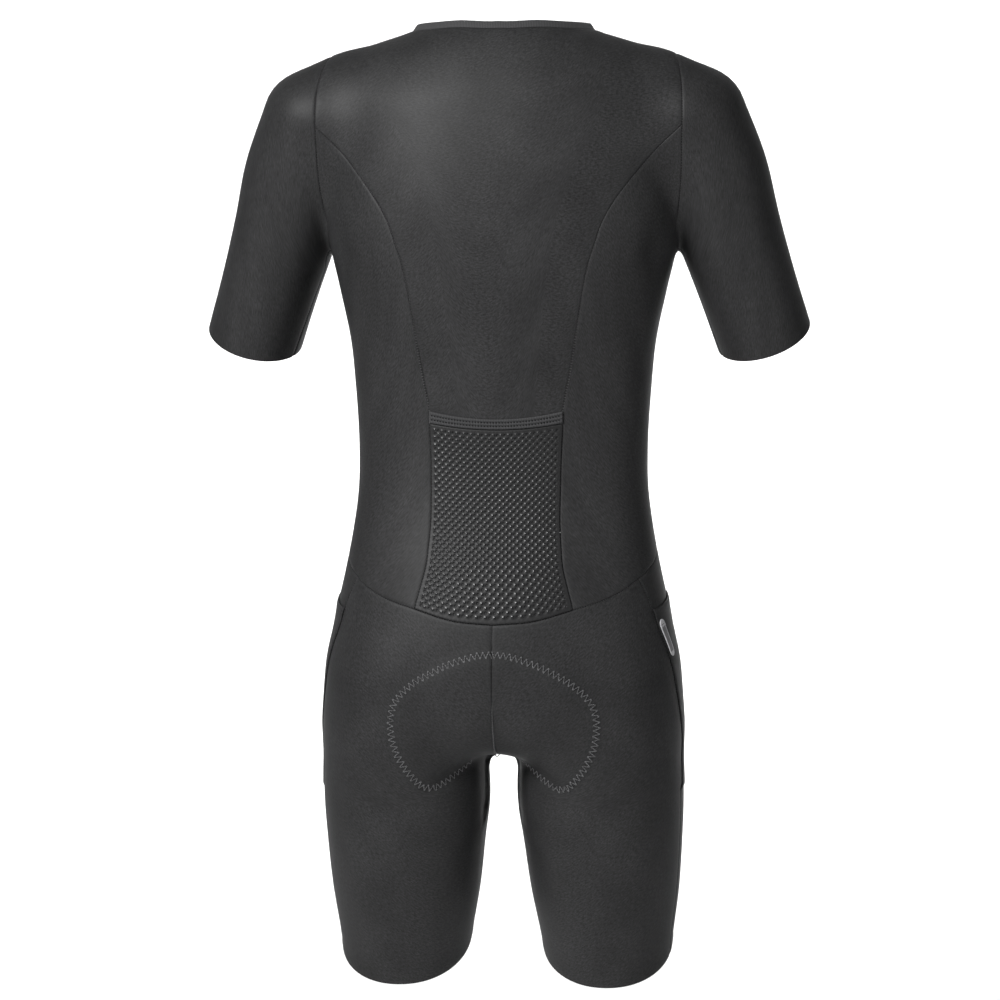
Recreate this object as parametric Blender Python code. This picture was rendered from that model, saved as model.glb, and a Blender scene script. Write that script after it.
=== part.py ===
"""Time trial skinsuit in its worn, hollow form.

Metres, +Z up. The garment's front faces -Y and the wearer's left is +X. The origin lies on the centre plane,
at the height where the shoulders carry the garment. Tables are in millimetres and degrees.
"""
import math

import bmesh
import bpy
import numpy as np
from mathutils import Matrix, Vector

MM = 0.001

# Cloth
WALL = 1.2 * MM
POCKET_WALL = 1.0 * MM
BAND_WALL = 1.6 * MM
SEAM_GAP = 0.4 * MM
LAY_GAP = 0.3 * MM

# Torso girths: height, half width, depth behind, depth in front
TORSO = (
    (40, 150, 60, 62),
    (-20, 168, 80, 74),
    (-60, 172, 92, 84),
    (-110, 173, 101, 96),
    (-160, 173, 105, 108),
    (-200, 172, 104, 113),
    (-245, 162, 100, 114),
    (-295, 151.5, 92, 110),
    (-340, 147, 86, 106),
    (-400, 143.5, 82, 102),
    (-440, 144, 85, 101),
    (-480, 149, 92, 101),
    (-520, 156.5, 103, 101),
    (-560, 165, 113, 100),
    (-600, 170.5, 119, 97),
    (-650, 173.5, 118, 93),
    (-700, 174.5, 104, 87),
    (-740, 174.5, 92, 80),
)
TORSO_POWER = 2.35

# Height of the shoulder's ridge, by distance from the centre plane
RIDGE = ((0, 36), (40, 31), (70, 20), (90, 11), (117, 2), (144, -6), (171, -11), (200, -20), (240, -45))
RIDGE_Y = -4 * MM
ARCH_RADIUS = 70 * MM
ROOF_SHARE = 0.88
SHOULDER_ROUND = 26 * MM

# Arm: its line from the shoulder to the sleeve's hem, and its sections by distance along that line
SHOULDER = np.array((186, 0, -76)) * MM
CUFF_CENTRE = np.array((257, -46, -290)) * MM
ARM = (
    (0, 54, 62),
    (60, 57, 61),
    (120, 52, 57),
    (180, 49, 54),
    (230, 48, 52),
    (270, 47, 51),
)
ARM_CAP = 50 * MM

# How wide the arm and the body run into each other, by height
ARM_BLEND = ((-240, 10), (-190, 12), (-130, 36), (-60, 44), (0, 44))

# Leg sections: height, centre across, centre forward or back, half width, half depth
LEG = (
    (-560, 92, 2, 72, 92),
    (-640, 95, 4, 78, 98),
    (-700, 97, 2, 81.4, 97),
    (-754, 97, -6, 82.6, 93),
    (-791, 98.7, -14, 79.3, 89),
    (-842, 100.2, -26, 74.3, 84),
    (-896, 101.8, -38, 66, 77),
    (-950, 104, -50, 61, 72),
)
LEG_POWER = 2.1
LEG_TOP_Z = -580 * MM
CROTCH_Z = -704 * MM
SEAT_CENTRE_Z = -600 * MM
INSEAM_TOP = np.array((10, 0, -707.5)) * MM
INSEAM_Z = -718 * MM
SEAT_ROUND = 46 * MM
THIGH_ROUND = 18 * MM

# Neck seam in plan, and its height by angle from the centre back
NECK_HALF_WIDTH = 90 * MM
NECK_BACK = 58 * MM
NECK_FRONT = 80 * MM
NECK_HEIGHT = ((0, 9), (45, 11), (90, 9), (135, -8), (180, -24))
NECK_SHOULDER_ANGLE = 99
BINDING_HEIGHT = 8 * MM
BINDING_WALL = 1.8 * MM
BINDING_LEAN = 0.58

# Armhole seam: height, distance from the centre plane
ARMHOLE = (
    (-13, 171), (-28, 175), (-47, 178), (-70, 179), (-110, 178.5), (-131, 178),
    (-151, 176.5), (-167, 174.5), (-186, 172), (-200, 172),
)
ARMHOLE_CENTRE_Z = -105 * MM
ARMHOLE_SHOULDER_ANGLE = 189

# Curved back seam: height, distance from the centre plane
BACK_SEAM = (
    (-89, 178), (-111, 155), (-131, 138.5), (-150, 124), (-167, 112.5), (-184, 103.5), (-203, 97),
    (-223, 90.5), (-247, 85.3), (-266, 82), (-293, 77.8), (-334, 71), (-364, 65.2), (-376, 65),
    (-410, 63.6), (-445, 63), (-473, 63), (-496, 64.6), (-515, 66.5), (-532, 70.8), (-554, 76.8),
)
BACK_SEAM_TOP_Z = -89 * MM

# Back pocket: three level lines, each its height at the curved seams and how far its middle hangs lower
POCKET_MOUTH = (-364.4 * MM, 8 * MM)
POCKET_BAND_FOOT = (-376.5 * MM, 6.4 * MM)
POCKET_FOOT = (-515 * MM, 0)

# Waist seam: angle from the centre back, height
WAIST = (
    (0, -570), (20, -566), (38, -554.5), (49, -547), (58, -538), (66, -528), (75, -517), (84, -508),
    (95, -500), (115, -494), (150, -491), (180, -490),
)
BACK_SEAM_FOOT_X = 77 * MM
SIDE_PANEL_FRONT_ANGLE = 124
SIDE_SEAM_ANGLE = 97

# Leg stations: angle from the inseam round the back of the thigh
THIGH_BACK_ANGLE = 100
SIDE_PANEL_BACK_ANGLE = 166
SIDE_PANEL_FORE_ANGLE = 236
THIGH_FRONT_ANGLE = 300

# Back edge of the side panel above the thigh: height, distance from the centre plane
SIDE_PANEL_EDGE = (
    (-526, 138), (-542, 145), (-558, 151), (-576, 156), (-594, 160.5), (-622, 165), (-645, 167),
    (-690, 168.5), (-735, 169),
)
THIGH_POCKET_MOUTH_Z = -558 * MM

# Seat fold, which parts the rows of the hip from those of the leg: angle, rise per metre from the leg's line
SEAT_FOLD = (
    (0, 0.12), (45, -0.12), (90, -0.35), (135, -0.3), (180, -0.2), (225, -0.3), (270, -0.35),
    (315, -0.12), (360, 0.12),
)
SEAT_FOLD_Z = -720 * MM
LEG_HEM_Z = -902 * MM
LEG_HEM_TILT = 27.5
CUFF_TILT = 27
UNDERARM_SEAM_ANGLE = 22
BICEP_ALONG = 142 * MM
CAP_CENTRE = np.array((222, -18, -158)) * MM
CAP_TURN = 36

# Rows and columns of the grids
ARMHOLE_BACK_STEPS = 7
ARMHOLE_YOKE_STEPS = 4
ARMHOLE_FRONT_STEPS = 9
BACK_SEAM_STEPS = 12
POCKET_STEPS = 6
POCKET_TAIL_STEPS = 2
SHOULDER_STEPS = 3
NECK_BACK_STEPS = 8
NECK_FRONT_STEPS = 5
SIDE_SHARE = (4, 3, 2, 6)
HIP_STEPS = 10
LEG_STEPS = 8
SLEEVE_STEPS = (5, 3, 5)

# Zip
ZIP_EDGE = 8.3 * MM
CHAIN_HALF = 3.0 * MM
TAPE_WALL = 1.0 * MM
CHAIN_WALL = 1.8 * MM
CHAIN_PROUD = 0.6 * MM
BINDING_CLEAR = 0.8 * MM
SLIDER_DROP = 24 * MM
SLIDER_SIZE = Vector((8, 11, 1.6)) * MM
BRIDGE_SIZE = Vector((3, 8, 3.1)) * MM
BRIDGE_BAR = 1.0 * MM
PULL_LENGTH = 26 * MM
PULL_WIDTH = 7.6 * MM
PULL_WALL = 1.1 * MM
PULL_EYE = Vector((4.4, 4.8)) * MM
SLIDER_CHAMFER = 0.5 * MM
PULL_CHAMFER = 0.25 * MM

# Seat pad: its left edge from the back round under the crotch, across, fore and aft, and height
PAD_EDGE = (
    (24, 116, -603),
    (62, 106, -621),
    (90, 92, -650),
    (101, 84, -688),
    (90, 80, -720),
    (62, 66, -741),
    (36, 34, -742),
    (22, -4, -738),
    (17, -14, -728),
    (10, -20, -716),
    (5, -22, -706),
)
PAD_ROWS = 16
PAD_COLUMNS = 5
PAD_WALL = 5.0 * MM
PAD_EDGE_WALL = 2.0 * MM
PAD_GAP = 2.2 * MM

# Side tag
TAG_TOP_Z = -570 * MM
TAG_FOOT_Z = -606 * MM
TAG_HALF = 5.2 * MM
TAG_WALL = 0.8 * MM
TAG_INSET = 1.0 * MM
TAG_STEPS = 8

# Finishes: colour, roughness, metallic
FINISHES = {
    "knit": ((0.034, 0.034, 0.035), 0.62, 0.0),
    "mesh": ((0.026, 0.026, 0.027), 0.66, 0.0),
    "binding": ((0.022, 0.022, 0.023), 0.85, 0.0),
    "padding": ((0.05, 0.05, 0.055), 0.9, 0.0),
    "tape": ((0.018, 0.018, 0.019), 0.8, 0.0),
    "teeth": ((0.02, 0.02, 0.021), 0.4, 0.0),
    "reflective": ((0.42, 0.42, 0.43), 0.35, 0.0),
    "metal": ((0.05, 0.05, 0.055), 0.35, 1.0),
}

TINY = 1e-9
X_AXIS = np.array((1.0, 0.0, 0.0))
Y_AXIS = np.array((0.0, 1.0, 0.0))
Z_AXIS = np.array((0.0, 0.0, 1.0))


# Reading the tables

def curve(rows, column=1, unit=MM, scale=MM):
    """A smooth curve through one column of a table, read by its first column."""
    rows = sorted(rows)
    knots = np.array([row[0] for row in rows]) * unit
    values = np.array([row[column] for row in rows]) * scale
    slopes = np.gradient(values, knots)

    def read(at):
        at = np.clip(at, knots[0], knots[-1])
        i = np.clip(np.searchsorted(knots, at) - 1, 0, len(knots) - 2)
        span = knots[i + 1] - knots[i]
        t = (at - knots[i]) / span
        keep = (1 + 2 * t) * (1 - t) ** 2
        bend = (1 - t) * slopes[i] - t * slopes[i + 1]
        return keep * values[i] + (1 - keep) * values[i + 1] + span * t * (1 - t) * bend

    return read


torso_half, torso_back, torso_front = (curve(TORSO, k) for k in (1, 2, 3))
leg_x, leg_y, leg_half, leg_deep = (curve(LEG, k) for k in (1, 2, 3, 4))
arm_half, arm_deep = (curve(ARM, k) for k in (1, 2))
arm_blend = curve(ARM_BLEND)
ridge = curve(RIDGE)
armhole_x = curve(ARMHOLE)
back_seam_x = curve(BACK_SEAM)
side_panel_x = curve(SIDE_PANEL_EDGE)
neck_z = curve(NECK_HEIGHT, unit=1)
waist_z = curve(WAIST, unit=1)
seat_fold_rise = curve(SEAT_FOLD, unit=1, scale=1)


# The general figure that the garment is shaped on, as a distance field

def unit(vectors):
    return vectors / (np.linalg.norm(vectors, axis=-1, keepdims=True) + TINY)


ARM_LINE = unit(CUFF_CENTRE - SHOULDER)
ARM_OUT = unit(X_AXIS - ARM_LINE * ARM_LINE[0])
ARM_BACK = np.cross(ARM_OUT, ARM_LINE)
if ARM_BACK[1] < 0:
    ARM_BACK = -ARM_BACK


def blend_min(a, b, width):
    h = np.maximum(width - np.abs(a - b), 0) / width
    return np.minimum(a, b) - h * h * width / 4


def blend_max(a, b, width):
    return -blend_min(-a, -b, width)


def section_gap(across, deep, half_width, half_depth, power):
    """Distance from a rounded section, along the line from its centre, positive outside."""
    across = across + TINY
    share = (np.abs(across / half_width) ** power + np.abs(deep / half_depth) ** power) ** (1 / power)
    reach = np.hypot(across, deep)
    return reach - reach / share


def torso_gap(x, y, z):
    deep = np.where(y > 0, torso_back(z), torso_front(z))
    sides = section_gap(x, y, torso_half(z), deep, TORSO_POWER)
    roof = (z - ridge(x) + (y - RIDGE_Y) ** 2 / (2 * ARCH_RADIUS)) * ROOF_SHARE
    return blend_max(blend_max(sides, roof, SHOULDER_ROUND), CROTCH_Z - z, SEAT_ROUND)


def arm_gap(x, y, z):
    place = np.stack((x, y, z), axis=-1) - SHOULDER
    along, out, back = place @ ARM_LINE, place @ ARM_OUT, place @ ARM_BACK
    over = np.minimum(along, 0) - TINY
    share = np.sqrt((out / arm_half(along)) ** 2 + (back / arm_deep(along)) ** 2 + (over / ARM_CAP) ** 2)
    reach = np.sqrt(out ** 2 + back ** 2 + over ** 2)
    return reach - reach / share


def leg_gap(x, y, z):
    sides = section_gap(x - leg_x(z), y - leg_y(z), leg_half(z), leg_deep(z), LEG_POWER)
    return blend_max(sides, z - LEG_TOP_Z, SEAT_ROUND)


def gap(points):
    """Distance from the worn surface, positive outside."""
    x, y, z = np.abs(points[..., 0]), points[..., 1], points[..., 2]
    upper = blend_min(torso_gap(x, y, z), arm_gap(x, y, z), arm_blend(z))
    return blend_min(upper, leg_gap(x, y, z), THIGH_ROUND)


def slope(points, step=0.5 * MM):
    parts = [gap(points + axis * step) - gap(points - axis * step) for axis in (X_AXIS, Y_AXIS, Z_AXIS)]
    return np.stack(parts, axis=-1) / (2 * step)


def settle(points, level=0.0, rounds=10, longest=12 * MM):
    """Moves points along the slope onto the worn surface, or to a level of the distance from it."""
    for _ in range(rounds):
        rise = slope(points)
        move = rise * ((gap(points) - level) / ((rise ** 2).sum(axis=-1) + TINY))[..., None]
        size = np.linalg.norm(move, axis=-1, keepdims=True)
        points = points - move * np.minimum(1, longest / (size + TINY))
    return points


def cast(origins, directions, reach=0.36, samples=181):
    """First place where rays from inside the figure leave it."""
    directions = unit(directions)
    origins = np.broadcast_to(origins, directions.shape)
    steps = np.linspace(0, reach, samples)
    outside = gap(origins + steps[:, None, None] * directions) > 0
    first = np.argmax(outside, axis=0)
    low, high = steps[np.maximum(first - 1, 0)], steps[first]
    for _ in range(26):
        middle = (low + high) / 2
        out = gap(origins + middle[:, None] * directions) > 0
        low, high = np.where(out, low, middle), np.where(out, middle, high)
    return origins + high[:, None] * directions


def columns(*values):
    """Points from coordinates, each a number or an array."""
    return np.stack(np.broadcast_arrays(*[np.asarray(v, dtype=float) for v in values]), axis=-1)


def even(points, steps, start=0.0, end=1.0, ease=0.0):
    """Points along part of a close row of points; with an ease above 0 they close up towards the end."""
    run = np.concatenate(([0], np.cumsum(np.linalg.norm(np.diff(points, axis=0), axis=1))))
    t = np.linspace(0, 1, steps + 1)
    at = (start + (end - start) * t * (1 + ease * (1 - t))) * run[-1]
    return columns(*[np.interp(at, run, points[:, k]) for k in range(3)])


def mirrored(points):
    return points * np.array((-1.0, 1.0, 1.0))


# Seam lines of the left half

def on_back(x, z):
    return cast(columns(x, 0, z), columns(0 * np.asarray(x), 1, 0))


def on_front(x, z):
    return cast(columns(x, 0, z), columns(0 * np.asarray(x), -1, 0))


def armhole_ring():
    """Close points round the armhole, from the armpit up the back, over the shoulder and down the front."""
    angle = np.radians(np.linspace(0, 360, 241))
    height = np.full_like(angle, ARMHOLE_CENTRE_Z)
    aim = columns(0 * angle, np.sin(angle), -np.cos(angle))
    for _ in range(5):
        ring = cast(columns(armhole_x(height), 0, ARMHOLE_CENTRE_Z), aim)
        height = ring[:, 2]
    return ring


def neck_ring(start, end, close=61):
    """Close points along the neck seam between two angles from the centre back."""
    angle = np.linspace(start, end, close)
    turn = np.radians(angle)
    deep = np.where(np.cos(turn) > 0, NECK_BACK, NECK_FRONT)
    aim = columns(NECK_HALF_WIDTH * np.sin(turn), deep * np.cos(turn), neck_z(angle))
    inside = np.array((0, -4 * MM, -90 * MM))
    return cast(inside, aim - inside)


def waist_ring(start, end, close=61):
    angle = np.linspace(start, end, close)
    turn = np.radians(angle)
    height = waist_z(angle)
    return cast(columns(0, 0, height), columns(np.sin(turn), np.cos(turn), 0))


def waist_angle(x):
    """Angle of the waist seam's back half at a distance from the centre plane."""
    ring = waist_ring(0, 90, 181)
    return float(np.interp(x, ring[:, 0], np.linspace(0, 90, 181)))


def leg_ring(centre_z, rise, start, end, close=61):
    """Close points round the left leg, in a plane or fold that rises with the angle from the inseam."""
    angle = np.linspace(start, end, close)
    turn = np.radians(angle)
    centre = np.array((leg_x(centre_z), leg_y(centre_z), centre_z))
    return cast(centre, columns(-np.cos(turn), np.sin(turn), rise(angle)))


def seat_fold(start, end):
    return leg_ring(SEAT_FOLD_Z, seat_fold_rise, start, end)


def leg_hem(start, end):
    tilt = math.tan(math.radians(LEG_HEM_TILT))
    return leg_ring(LEG_HEM_Z, lambda angle: -tilt * np.sin(np.radians(angle)), start, end)


def arm_ring(centre, turn_out, tilt, start):
    """Close points round the arm from one underarm angle round the back to itself."""
    out = math.radians(turn_out)
    level = Z_AXIS * math.cos(out) + X_AXIS * math.sin(out)
    back = Y_AXIS * math.cos(math.radians(tilt)) - Z_AXIS * math.sin(math.radians(tilt))
    turn = np.radians(np.linspace(start, start + 360, 241))[:, None]
    return cast(centre, -np.cos(turn) * level + np.sin(turn) * back)


def patch(left, right, top, bottom, level=0.0):
    """Grid between four seam lines, its inside settled on the worn surface. Rows run from top to bottom."""
    v = np.linspace(0, 1, len(left))[:, None, None]
    u = np.linspace(0, 1, len(top))[None, :, None]
    grid = (1 - u) * left[:, None] + u * right[:, None] + (1 - v) * top[None] + v * bottom[None]
    grid -= (1 - v) * ((1 - u) * top[0] + u * top[-1]) + v * ((1 - u) * bottom[0] + u * bottom[-1])
    inner = (slice(1, -1), slice(1, -1))
    for _ in range(4):
        grid[inner] = settle(grid[inner], level)
        grid[inner] = (grid[:-2, 1:-1] + grid[2:, 1:-1] + grid[1:-1, :-2] + grid[1:-1, 2:]) / 4
    grid[inner] = settle(grid[inner], level)
    return grid


def below(*grids):
    """One grid from grids that follow each other downwards."""
    return np.concatenate([grids[0]] + [grid[1:] for grid in grids[1:]])


def beside(*grids):
    """One grid from grids that follow each other across."""
    return np.concatenate([grids[0]] + [grid[:, 1:] for grid in grids[1:]], axis=1)


def level_line(line, half_x, steps):
    """A level pocket line across the back, hanging lower in its middle, from the left seam to the right."""
    x = np.linspace(half_x, -half_x, steps + 1)
    return on_back(x, line[0] - line[1] * (1 - (x / half_x) ** 2))


def seams():
    """All seam lines of the left half, as rows of points that the pieces on both sides share."""
    s = {}
    ring = armhole_ring()
    angles = np.linspace(0, 360, 241)
    yoke = int(np.argmin(np.where(angles < 180, np.abs(ring[:, 2] - BACK_SEAM_TOP_Z), 1)))
    top = int(np.argmin(np.abs(angles - ARMHOLE_SHOULDER_ANGLE)))
    s["armhole_back"] = even(ring[:yoke + 1], ARMHOLE_BACK_STEPS, ease=-0.35)
    s["armhole_yoke"] = even(ring[yoke:top + 1], ARMHOLE_YOKE_STEPS)
    s["armhole_front"] = even(ring[top:], ARMHOLE_FRONT_STEPS, ease=0.4)

    z = np.linspace(BACK_SEAM_TOP_Z, POCKET_MOUTH[0], 121)[1:]
    upper = np.concatenate((ring[yoke:yoke + 1], on_back(back_seam_x(z), z)))
    foot = waist_angle(BACK_SEAM_FOOT_X)
    z = np.linspace(POCKET_MOUTH[0], POCKET_BAND_FOOT[0], 2)
    band = on_back(back_seam_x(z), z)
    z = np.linspace(POCKET_BAND_FOOT[0], POCKET_FOOT[0], POCKET_STEPS + 1)
    pocket = on_back(back_seam_x(z), z)
    z = np.linspace(POCKET_FOOT[0], float(waist_z(foot)), 41)
    tail = on_back(back_seam_x(z), z)
    tail[-1] = waist_ring(foot, foot, 1)[0]
    upper, tail = settle(even(upper, BACK_SEAM_STEPS)), settle(even(tail, POCKET_TAIL_STEPS))
    s["back_seam"] = below(upper, band, pocket, tail)

    panel_edge = waist_angle(SIDE_PANEL_EDGE[0][1] * MM)
    marks = (foot, panel_edge, SIDE_SEAM_ANGLE, SIDE_PANEL_FRONT_ANGLE)
    s["waist_back"] = even(waist_ring(0, foot), (2 * SHOULDER_STEPS + NECK_BACK_STEPS) // 2)
    s["waist_side_back"] = even(waist_ring(marks[0], marks[1]), SIDE_SHARE[0])
    s["waist_side"] = even(waist_ring(marks[1], marks[2]), SIDE_SHARE[1])
    s["waist_side_front"] = even(waist_ring(marks[2], marks[3]), SIDE_SHARE[2])
    ring = waist_ring(marks[3], 180, 121)
    front = float(np.interp(-ZIP_EDGE, -ring[:, 0], np.linspace(marks[3], 180, 121)))
    s["waist_front"] = even(waist_ring(marks[3], front), SIDE_SHARE[3])
    s["waist_zip"] = waist_ring(front, 180, 2)

    armpit, foot_point = s["armhole_back"][0], s["waist_side"][-1]
    steps = BACK_SEAM_STEPS + 1 + POCKET_STEPS + POCKET_TAIL_STEPS
    z = np.linspace(armpit[2], foot_point[2], 121)
    turn = np.radians(np.linspace(93, SIDE_SEAM_ANGLE, 121))
    side = settle(columns(torso_half(z), torso_half(z) / np.tan(turn), z))
    side[0], side[-1] = armpit, foot_point
    s["side_seam"] = even(side, steps)
    s["side_seam"][1:-1] = settle(s["side_seam"][1:-1])

    s["neck_back"] = even(neck_ring(-NECK_SHOULDER_ANGLE, NECK_SHOULDER_ANGLE, 121), NECK_BACK_STEPS)[::-1]
    ring = neck_ring(NECK_SHOULDER_ANGLE, 180, 121)
    front = float(np.interp(-ZIP_EDGE, -ring[:, 0], np.linspace(NECK_SHOULDER_ANGLE, 180, 121)))
    s["neck_front"] = even(neck_ring(NECK_SHOULDER_ANGLE, front), NECK_FRONT_STEPS)
    s["neck_zip"] = neck_ring(front, 180, 2)
    a, b = s["armhole_yoke"][-1], s["neck_back"][0]
    t = np.linspace(0, 1, SHOULDER_STEPS + 1)[:, None]
    line = a + (b - a) * t
    s["shoulder"] = cast(line - Z_AXIS * 40 * MM, np.broadcast_to(Z_AXIS, line.shape))
    s["shoulder"][0], s["shoulder"][-1] = a, b

    steps = ARMHOLE_FRONT_STEPS + len(s["side_seam"]) - 1
    z = np.linspace(s["neck_front"][-1][2], s["waist_front"][-1][2], 121)
    line = on_front(np.full_like(z, ZIP_EDGE), z)
    line[0], line[-1] = s["neck_front"][-1], s["waist_front"][-1]
    s["zip_edge"] = settle(even(line, steps))

    middle = np.array((0, 0, SEAT_CENTRE_Z))
    crotch = cast(middle, -Z_AXIS[None])[0]
    for name, top in (("centre_back", s["waist_back"][0]), ("centre_front", s["waist_zip"][-1])):
        start = math.atan2(top[1], middle[2] - top[2])
        turn = np.linspace(start, 0, 121)
        aim = columns(0, np.sin(turn), -np.cos(turn))
        line = cast(middle, aim)
        line[0], line[-1] = top, crotch
        s[name] = even(line, HIP_STEPS, ease=0.45 if name == "centre_front" else 0.2)
    z = np.linspace(INSEAM_Z, float(leg_hem(0, 0)[0, 2]), 61)
    line = cast(columns(leg_x(z), leg_y(z), z), columns(-1 + 0 * z, 0, 0))
    line = np.concatenate((crotch[None], settle(INSEAM_TOP[None]), line))
    line[-1] = leg_hem(0, 0)[0]
    s["inseam"] = even(line, LEG_STEPS)

    marks = (0, THIGH_BACK_ANGLE, SIDE_PANEL_BACK_ANGLE, SIDE_PANEL_FORE_ANGLE, THIGH_FRONT_ANGLE, 360)
    counts = (len(s["waist_back"]) - 1, SIDE_SHARE[0], SIDE_SHARE[1] + SIDE_SHARE[2], 4, 3)
    for k, part in enumerate(("back", "back_outer", "side", "front_outer", "front")):
        s["fold_" + part] = even(seat_fold(marks[k], marks[k + 1]), counts[k])
        s["hem_" + part] = even(leg_hem(marks[k], marks[k + 1]), counts[k])
    s["fold_back"][0] = crotch
    s["fold_front"][-1] = crotch
    s["fold_back"][1:-1] = settle(s["fold_back"][1:-1])
    s["fold_front"][1:-1] = settle(s["fold_front"][1:-1])

    waist = np.concatenate((s["waist_front"], s["waist_zip"][1:]))
    s["waist_front_outer"], s["waist_front_inner"] = waist[:5], waist[4:]
    s["thigh_back"] = drop(s["waist_back"][-1], s["fold_back"][-1], s["hem_back"][-1])
    s["panel_back"] = panel_edge_line(s["waist_side"][0], s["fold_side"][0], s["hem_side"][0])
    s["panel_front"] = drop(s["waist_front"][0], s["fold_front_outer"][0], s["hem_front_outer"][0])
    s["thigh_front"] = drop(s["waist_front_inner"][0], s["fold_front"][0], s["hem_front"][0])
    s["underarm"], s["sleeve_rings"] = sleeve_lines(s)
    return s


def drop(top, fold, hem):
    """A line down the thigh through three points, in the rows of the hip and of the leg."""
    hip = settle(top + (fold - top) * np.linspace(0, 1, HIP_STEPS + 1)[:, None])
    leg = settle(fold + (hem - fold) * np.linspace(0, 1, LEG_STEPS + 1)[:, None])
    hip[0], hip[-1], leg[0], leg[-1] = top, fold, fold, hem
    return below(hip, leg)


def panel_edge_line(top, fold, hem):
    """The side panel's back edge, with one row at the thigh pocket's mouth."""
    z = np.concatenate((np.linspace(top[2], THIGH_POCKET_MOUTH_Z, 3),
                        np.linspace(THIGH_POCKET_MOUTH_Z, fold[2], HIP_STEPS - 1)[1:]))
    x = side_panel_x(z) + (fold[0] - side_panel_x(fold[2])) * np.linspace(0, 1, len(z)) ** 2
    deep = torso_back(z) * (1 - np.minimum(x / torso_half(z), 0.995) ** TORSO_POWER) ** (1 / TORSO_POWER)
    hip = settle(columns(x, deep, z))
    line = drop(top, fold, hem)
    line[1:HIP_STEPS] = hip[1:-1]
    return line


def sleeve_lines(s):
    """The sleeve's rings and its underarm seam between them."""
    armhole = np.concatenate((s["armhole_back"], s["armhole_yoke"][1:], s["armhole_front"][1:]))
    run = np.concatenate(([0], np.cumsum(np.linalg.norm(np.diff(armhole, axis=0), axis=1))))
    share = run / run[-1]
    out = math.degrees(math.atan2(ARM_OUT[0], ARM_OUT[2]))
    bicep = SHOULDER + ARM_LINE * BICEP_ALONG
    rings = [armhole]
    for centre, turn_out, tilt, start in (
        (CAP_CENTRE, CAP_TURN, 6, 4),
        (bicep, out, 12, 8),
        (CUFF_CENTRE, out, CUFF_TILT, UNDERARM_SEAM_ANGLE),
    ):
        close = arm_ring(centre, turn_out, tilt, start)
        length = np.concatenate(([0], np.cumsum(np.linalg.norm(np.diff(close, axis=0), axis=1))))
        at = share * length[-1]
        rings.append(columns(*[np.interp(at, length, close[:, k]) for k in range(3)]))
    line = []
    for k, steps in enumerate(SLEEVE_STEPS):
        a, b = rings[k][0], rings[k + 1][0]
        part = settle(a + (b - a) * np.linspace(0, 1, steps + 1)[:, None])
        part[0], part[-1] = a, b
        line.append(part)
    return line, rings


# Solids

def tuck(grid, facing, amount):
    """Draws a grid's four edges in, so that pieces stay apart at their seams."""
    move = np.zeros_like(grid)
    for edge, inner in (((0, slice(None)), (1, slice(None))), ((-1, slice(None)), (-2, slice(None))),
                        ((slice(None), 0), (slice(None), 1)), ((slice(None), -1), (slice(None), -2))):
        across = unit(np.cross(facing[edge], unit(np.gradient(grid[edge], axis=0))))
        sign = np.sign((across * (grid[inner] - grid[edge])).sum())
        move[edge] += across * sign * amount
    return grid + move


def shell(name, outer, inner, finish):
    """One closed solid between an outer and an inner grid of the same shape."""
    rows, cols = outer.shape[:2]
    mesh = bpy.data.meshes.new(name)
    bm = bmesh.new()
    skins = [[bm.verts.new(tuple(p)) for p in grid.reshape(-1, 3)] for grid in (outer, inner)]
    for skin in skins:
        for i in range(rows - 1):
            for j in range(cols - 1):
                a, b = i * cols + j, i * cols + j + 1
                d, c = a + cols, b + cols
                bm.faces.new((skin[a], skin[b], skin[c]))
                bm.faces.new((skin[a], skin[c], skin[d]))
    rim = list(range(cols))
    rim += [i * cols + cols - 1 for i in range(1, rows)]
    rim += [(rows - 1) * cols + j for j in range(cols - 2, -1, -1)]
    rim += [i * cols for i in range(rows - 2, 0, -1)]
    for a, b in zip(rim, rim[1:] + rim[:1]):
        a_out, b_out, a_in, b_in = skins[0][a], skins[0][b], skins[1][a], skins[1][b]
        if (a_out.co - b_in.co).length > (b_out.co - a_in.co).length:
            a_out, b_out, a_in, b_in = b_out, a_out, b_in, a_in
        bm.faces.new((a_out, b_out, b_in))
        bm.faces.new((a_out, b_in, a_in))
    bmesh.ops.recalc_face_normals(bm, faces=bm.faces)
    for face in bm.faces:
        face.smooth = True
    bm.to_mesh(mesh)
    bm.free()
    mesh.set_sharp_from_angle(angle=math.radians(40))
    return place(name, mesh, finish)


def place(name, mesh, finish):
    obj = bpy.data.objects.new(name, mesh)
    bpy.context.scene.collection.objects.link(obj)
    colour, roughness, metallic = FINISHES[finish]
    material = bpy.data.materials.new(name + "_" + finish)
    material.use_nodes = True
    shader = material.node_tree.nodes["Principled BSDF"]
    shader.inputs["Base Color"].default_value = (*colour, 1)
    shader.inputs["Roughness"].default_value = roughness
    shader.inputs["Metallic"].default_value = metallic
    material.diffuse_color = (*colour, 1)
    mesh.materials.append(material)
    return obj


def cloth(name, grid, finish="knit", lift=0.0, wall=WALL, tuck_in=SEAM_GAP / 2):
    """A cloth piece on a grid of the worn surface; lift moves what lies on a panel out from it."""
    facing = unit(slope(grid))
    edge = tuck(grid, facing, tuck_in)
    top, foot = (lift + wall, lift) if lift > 0 else (0, -wall)
    return shell(name, edge + facing * top, edge + facing * foot, finish)


def pair(name, grid, **how):
    """The same piece on the wearer's left and right."""
    cloth(name + "_left", grid, **how)
    cloth(name + "_right", mirrored(grid), **how)


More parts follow.
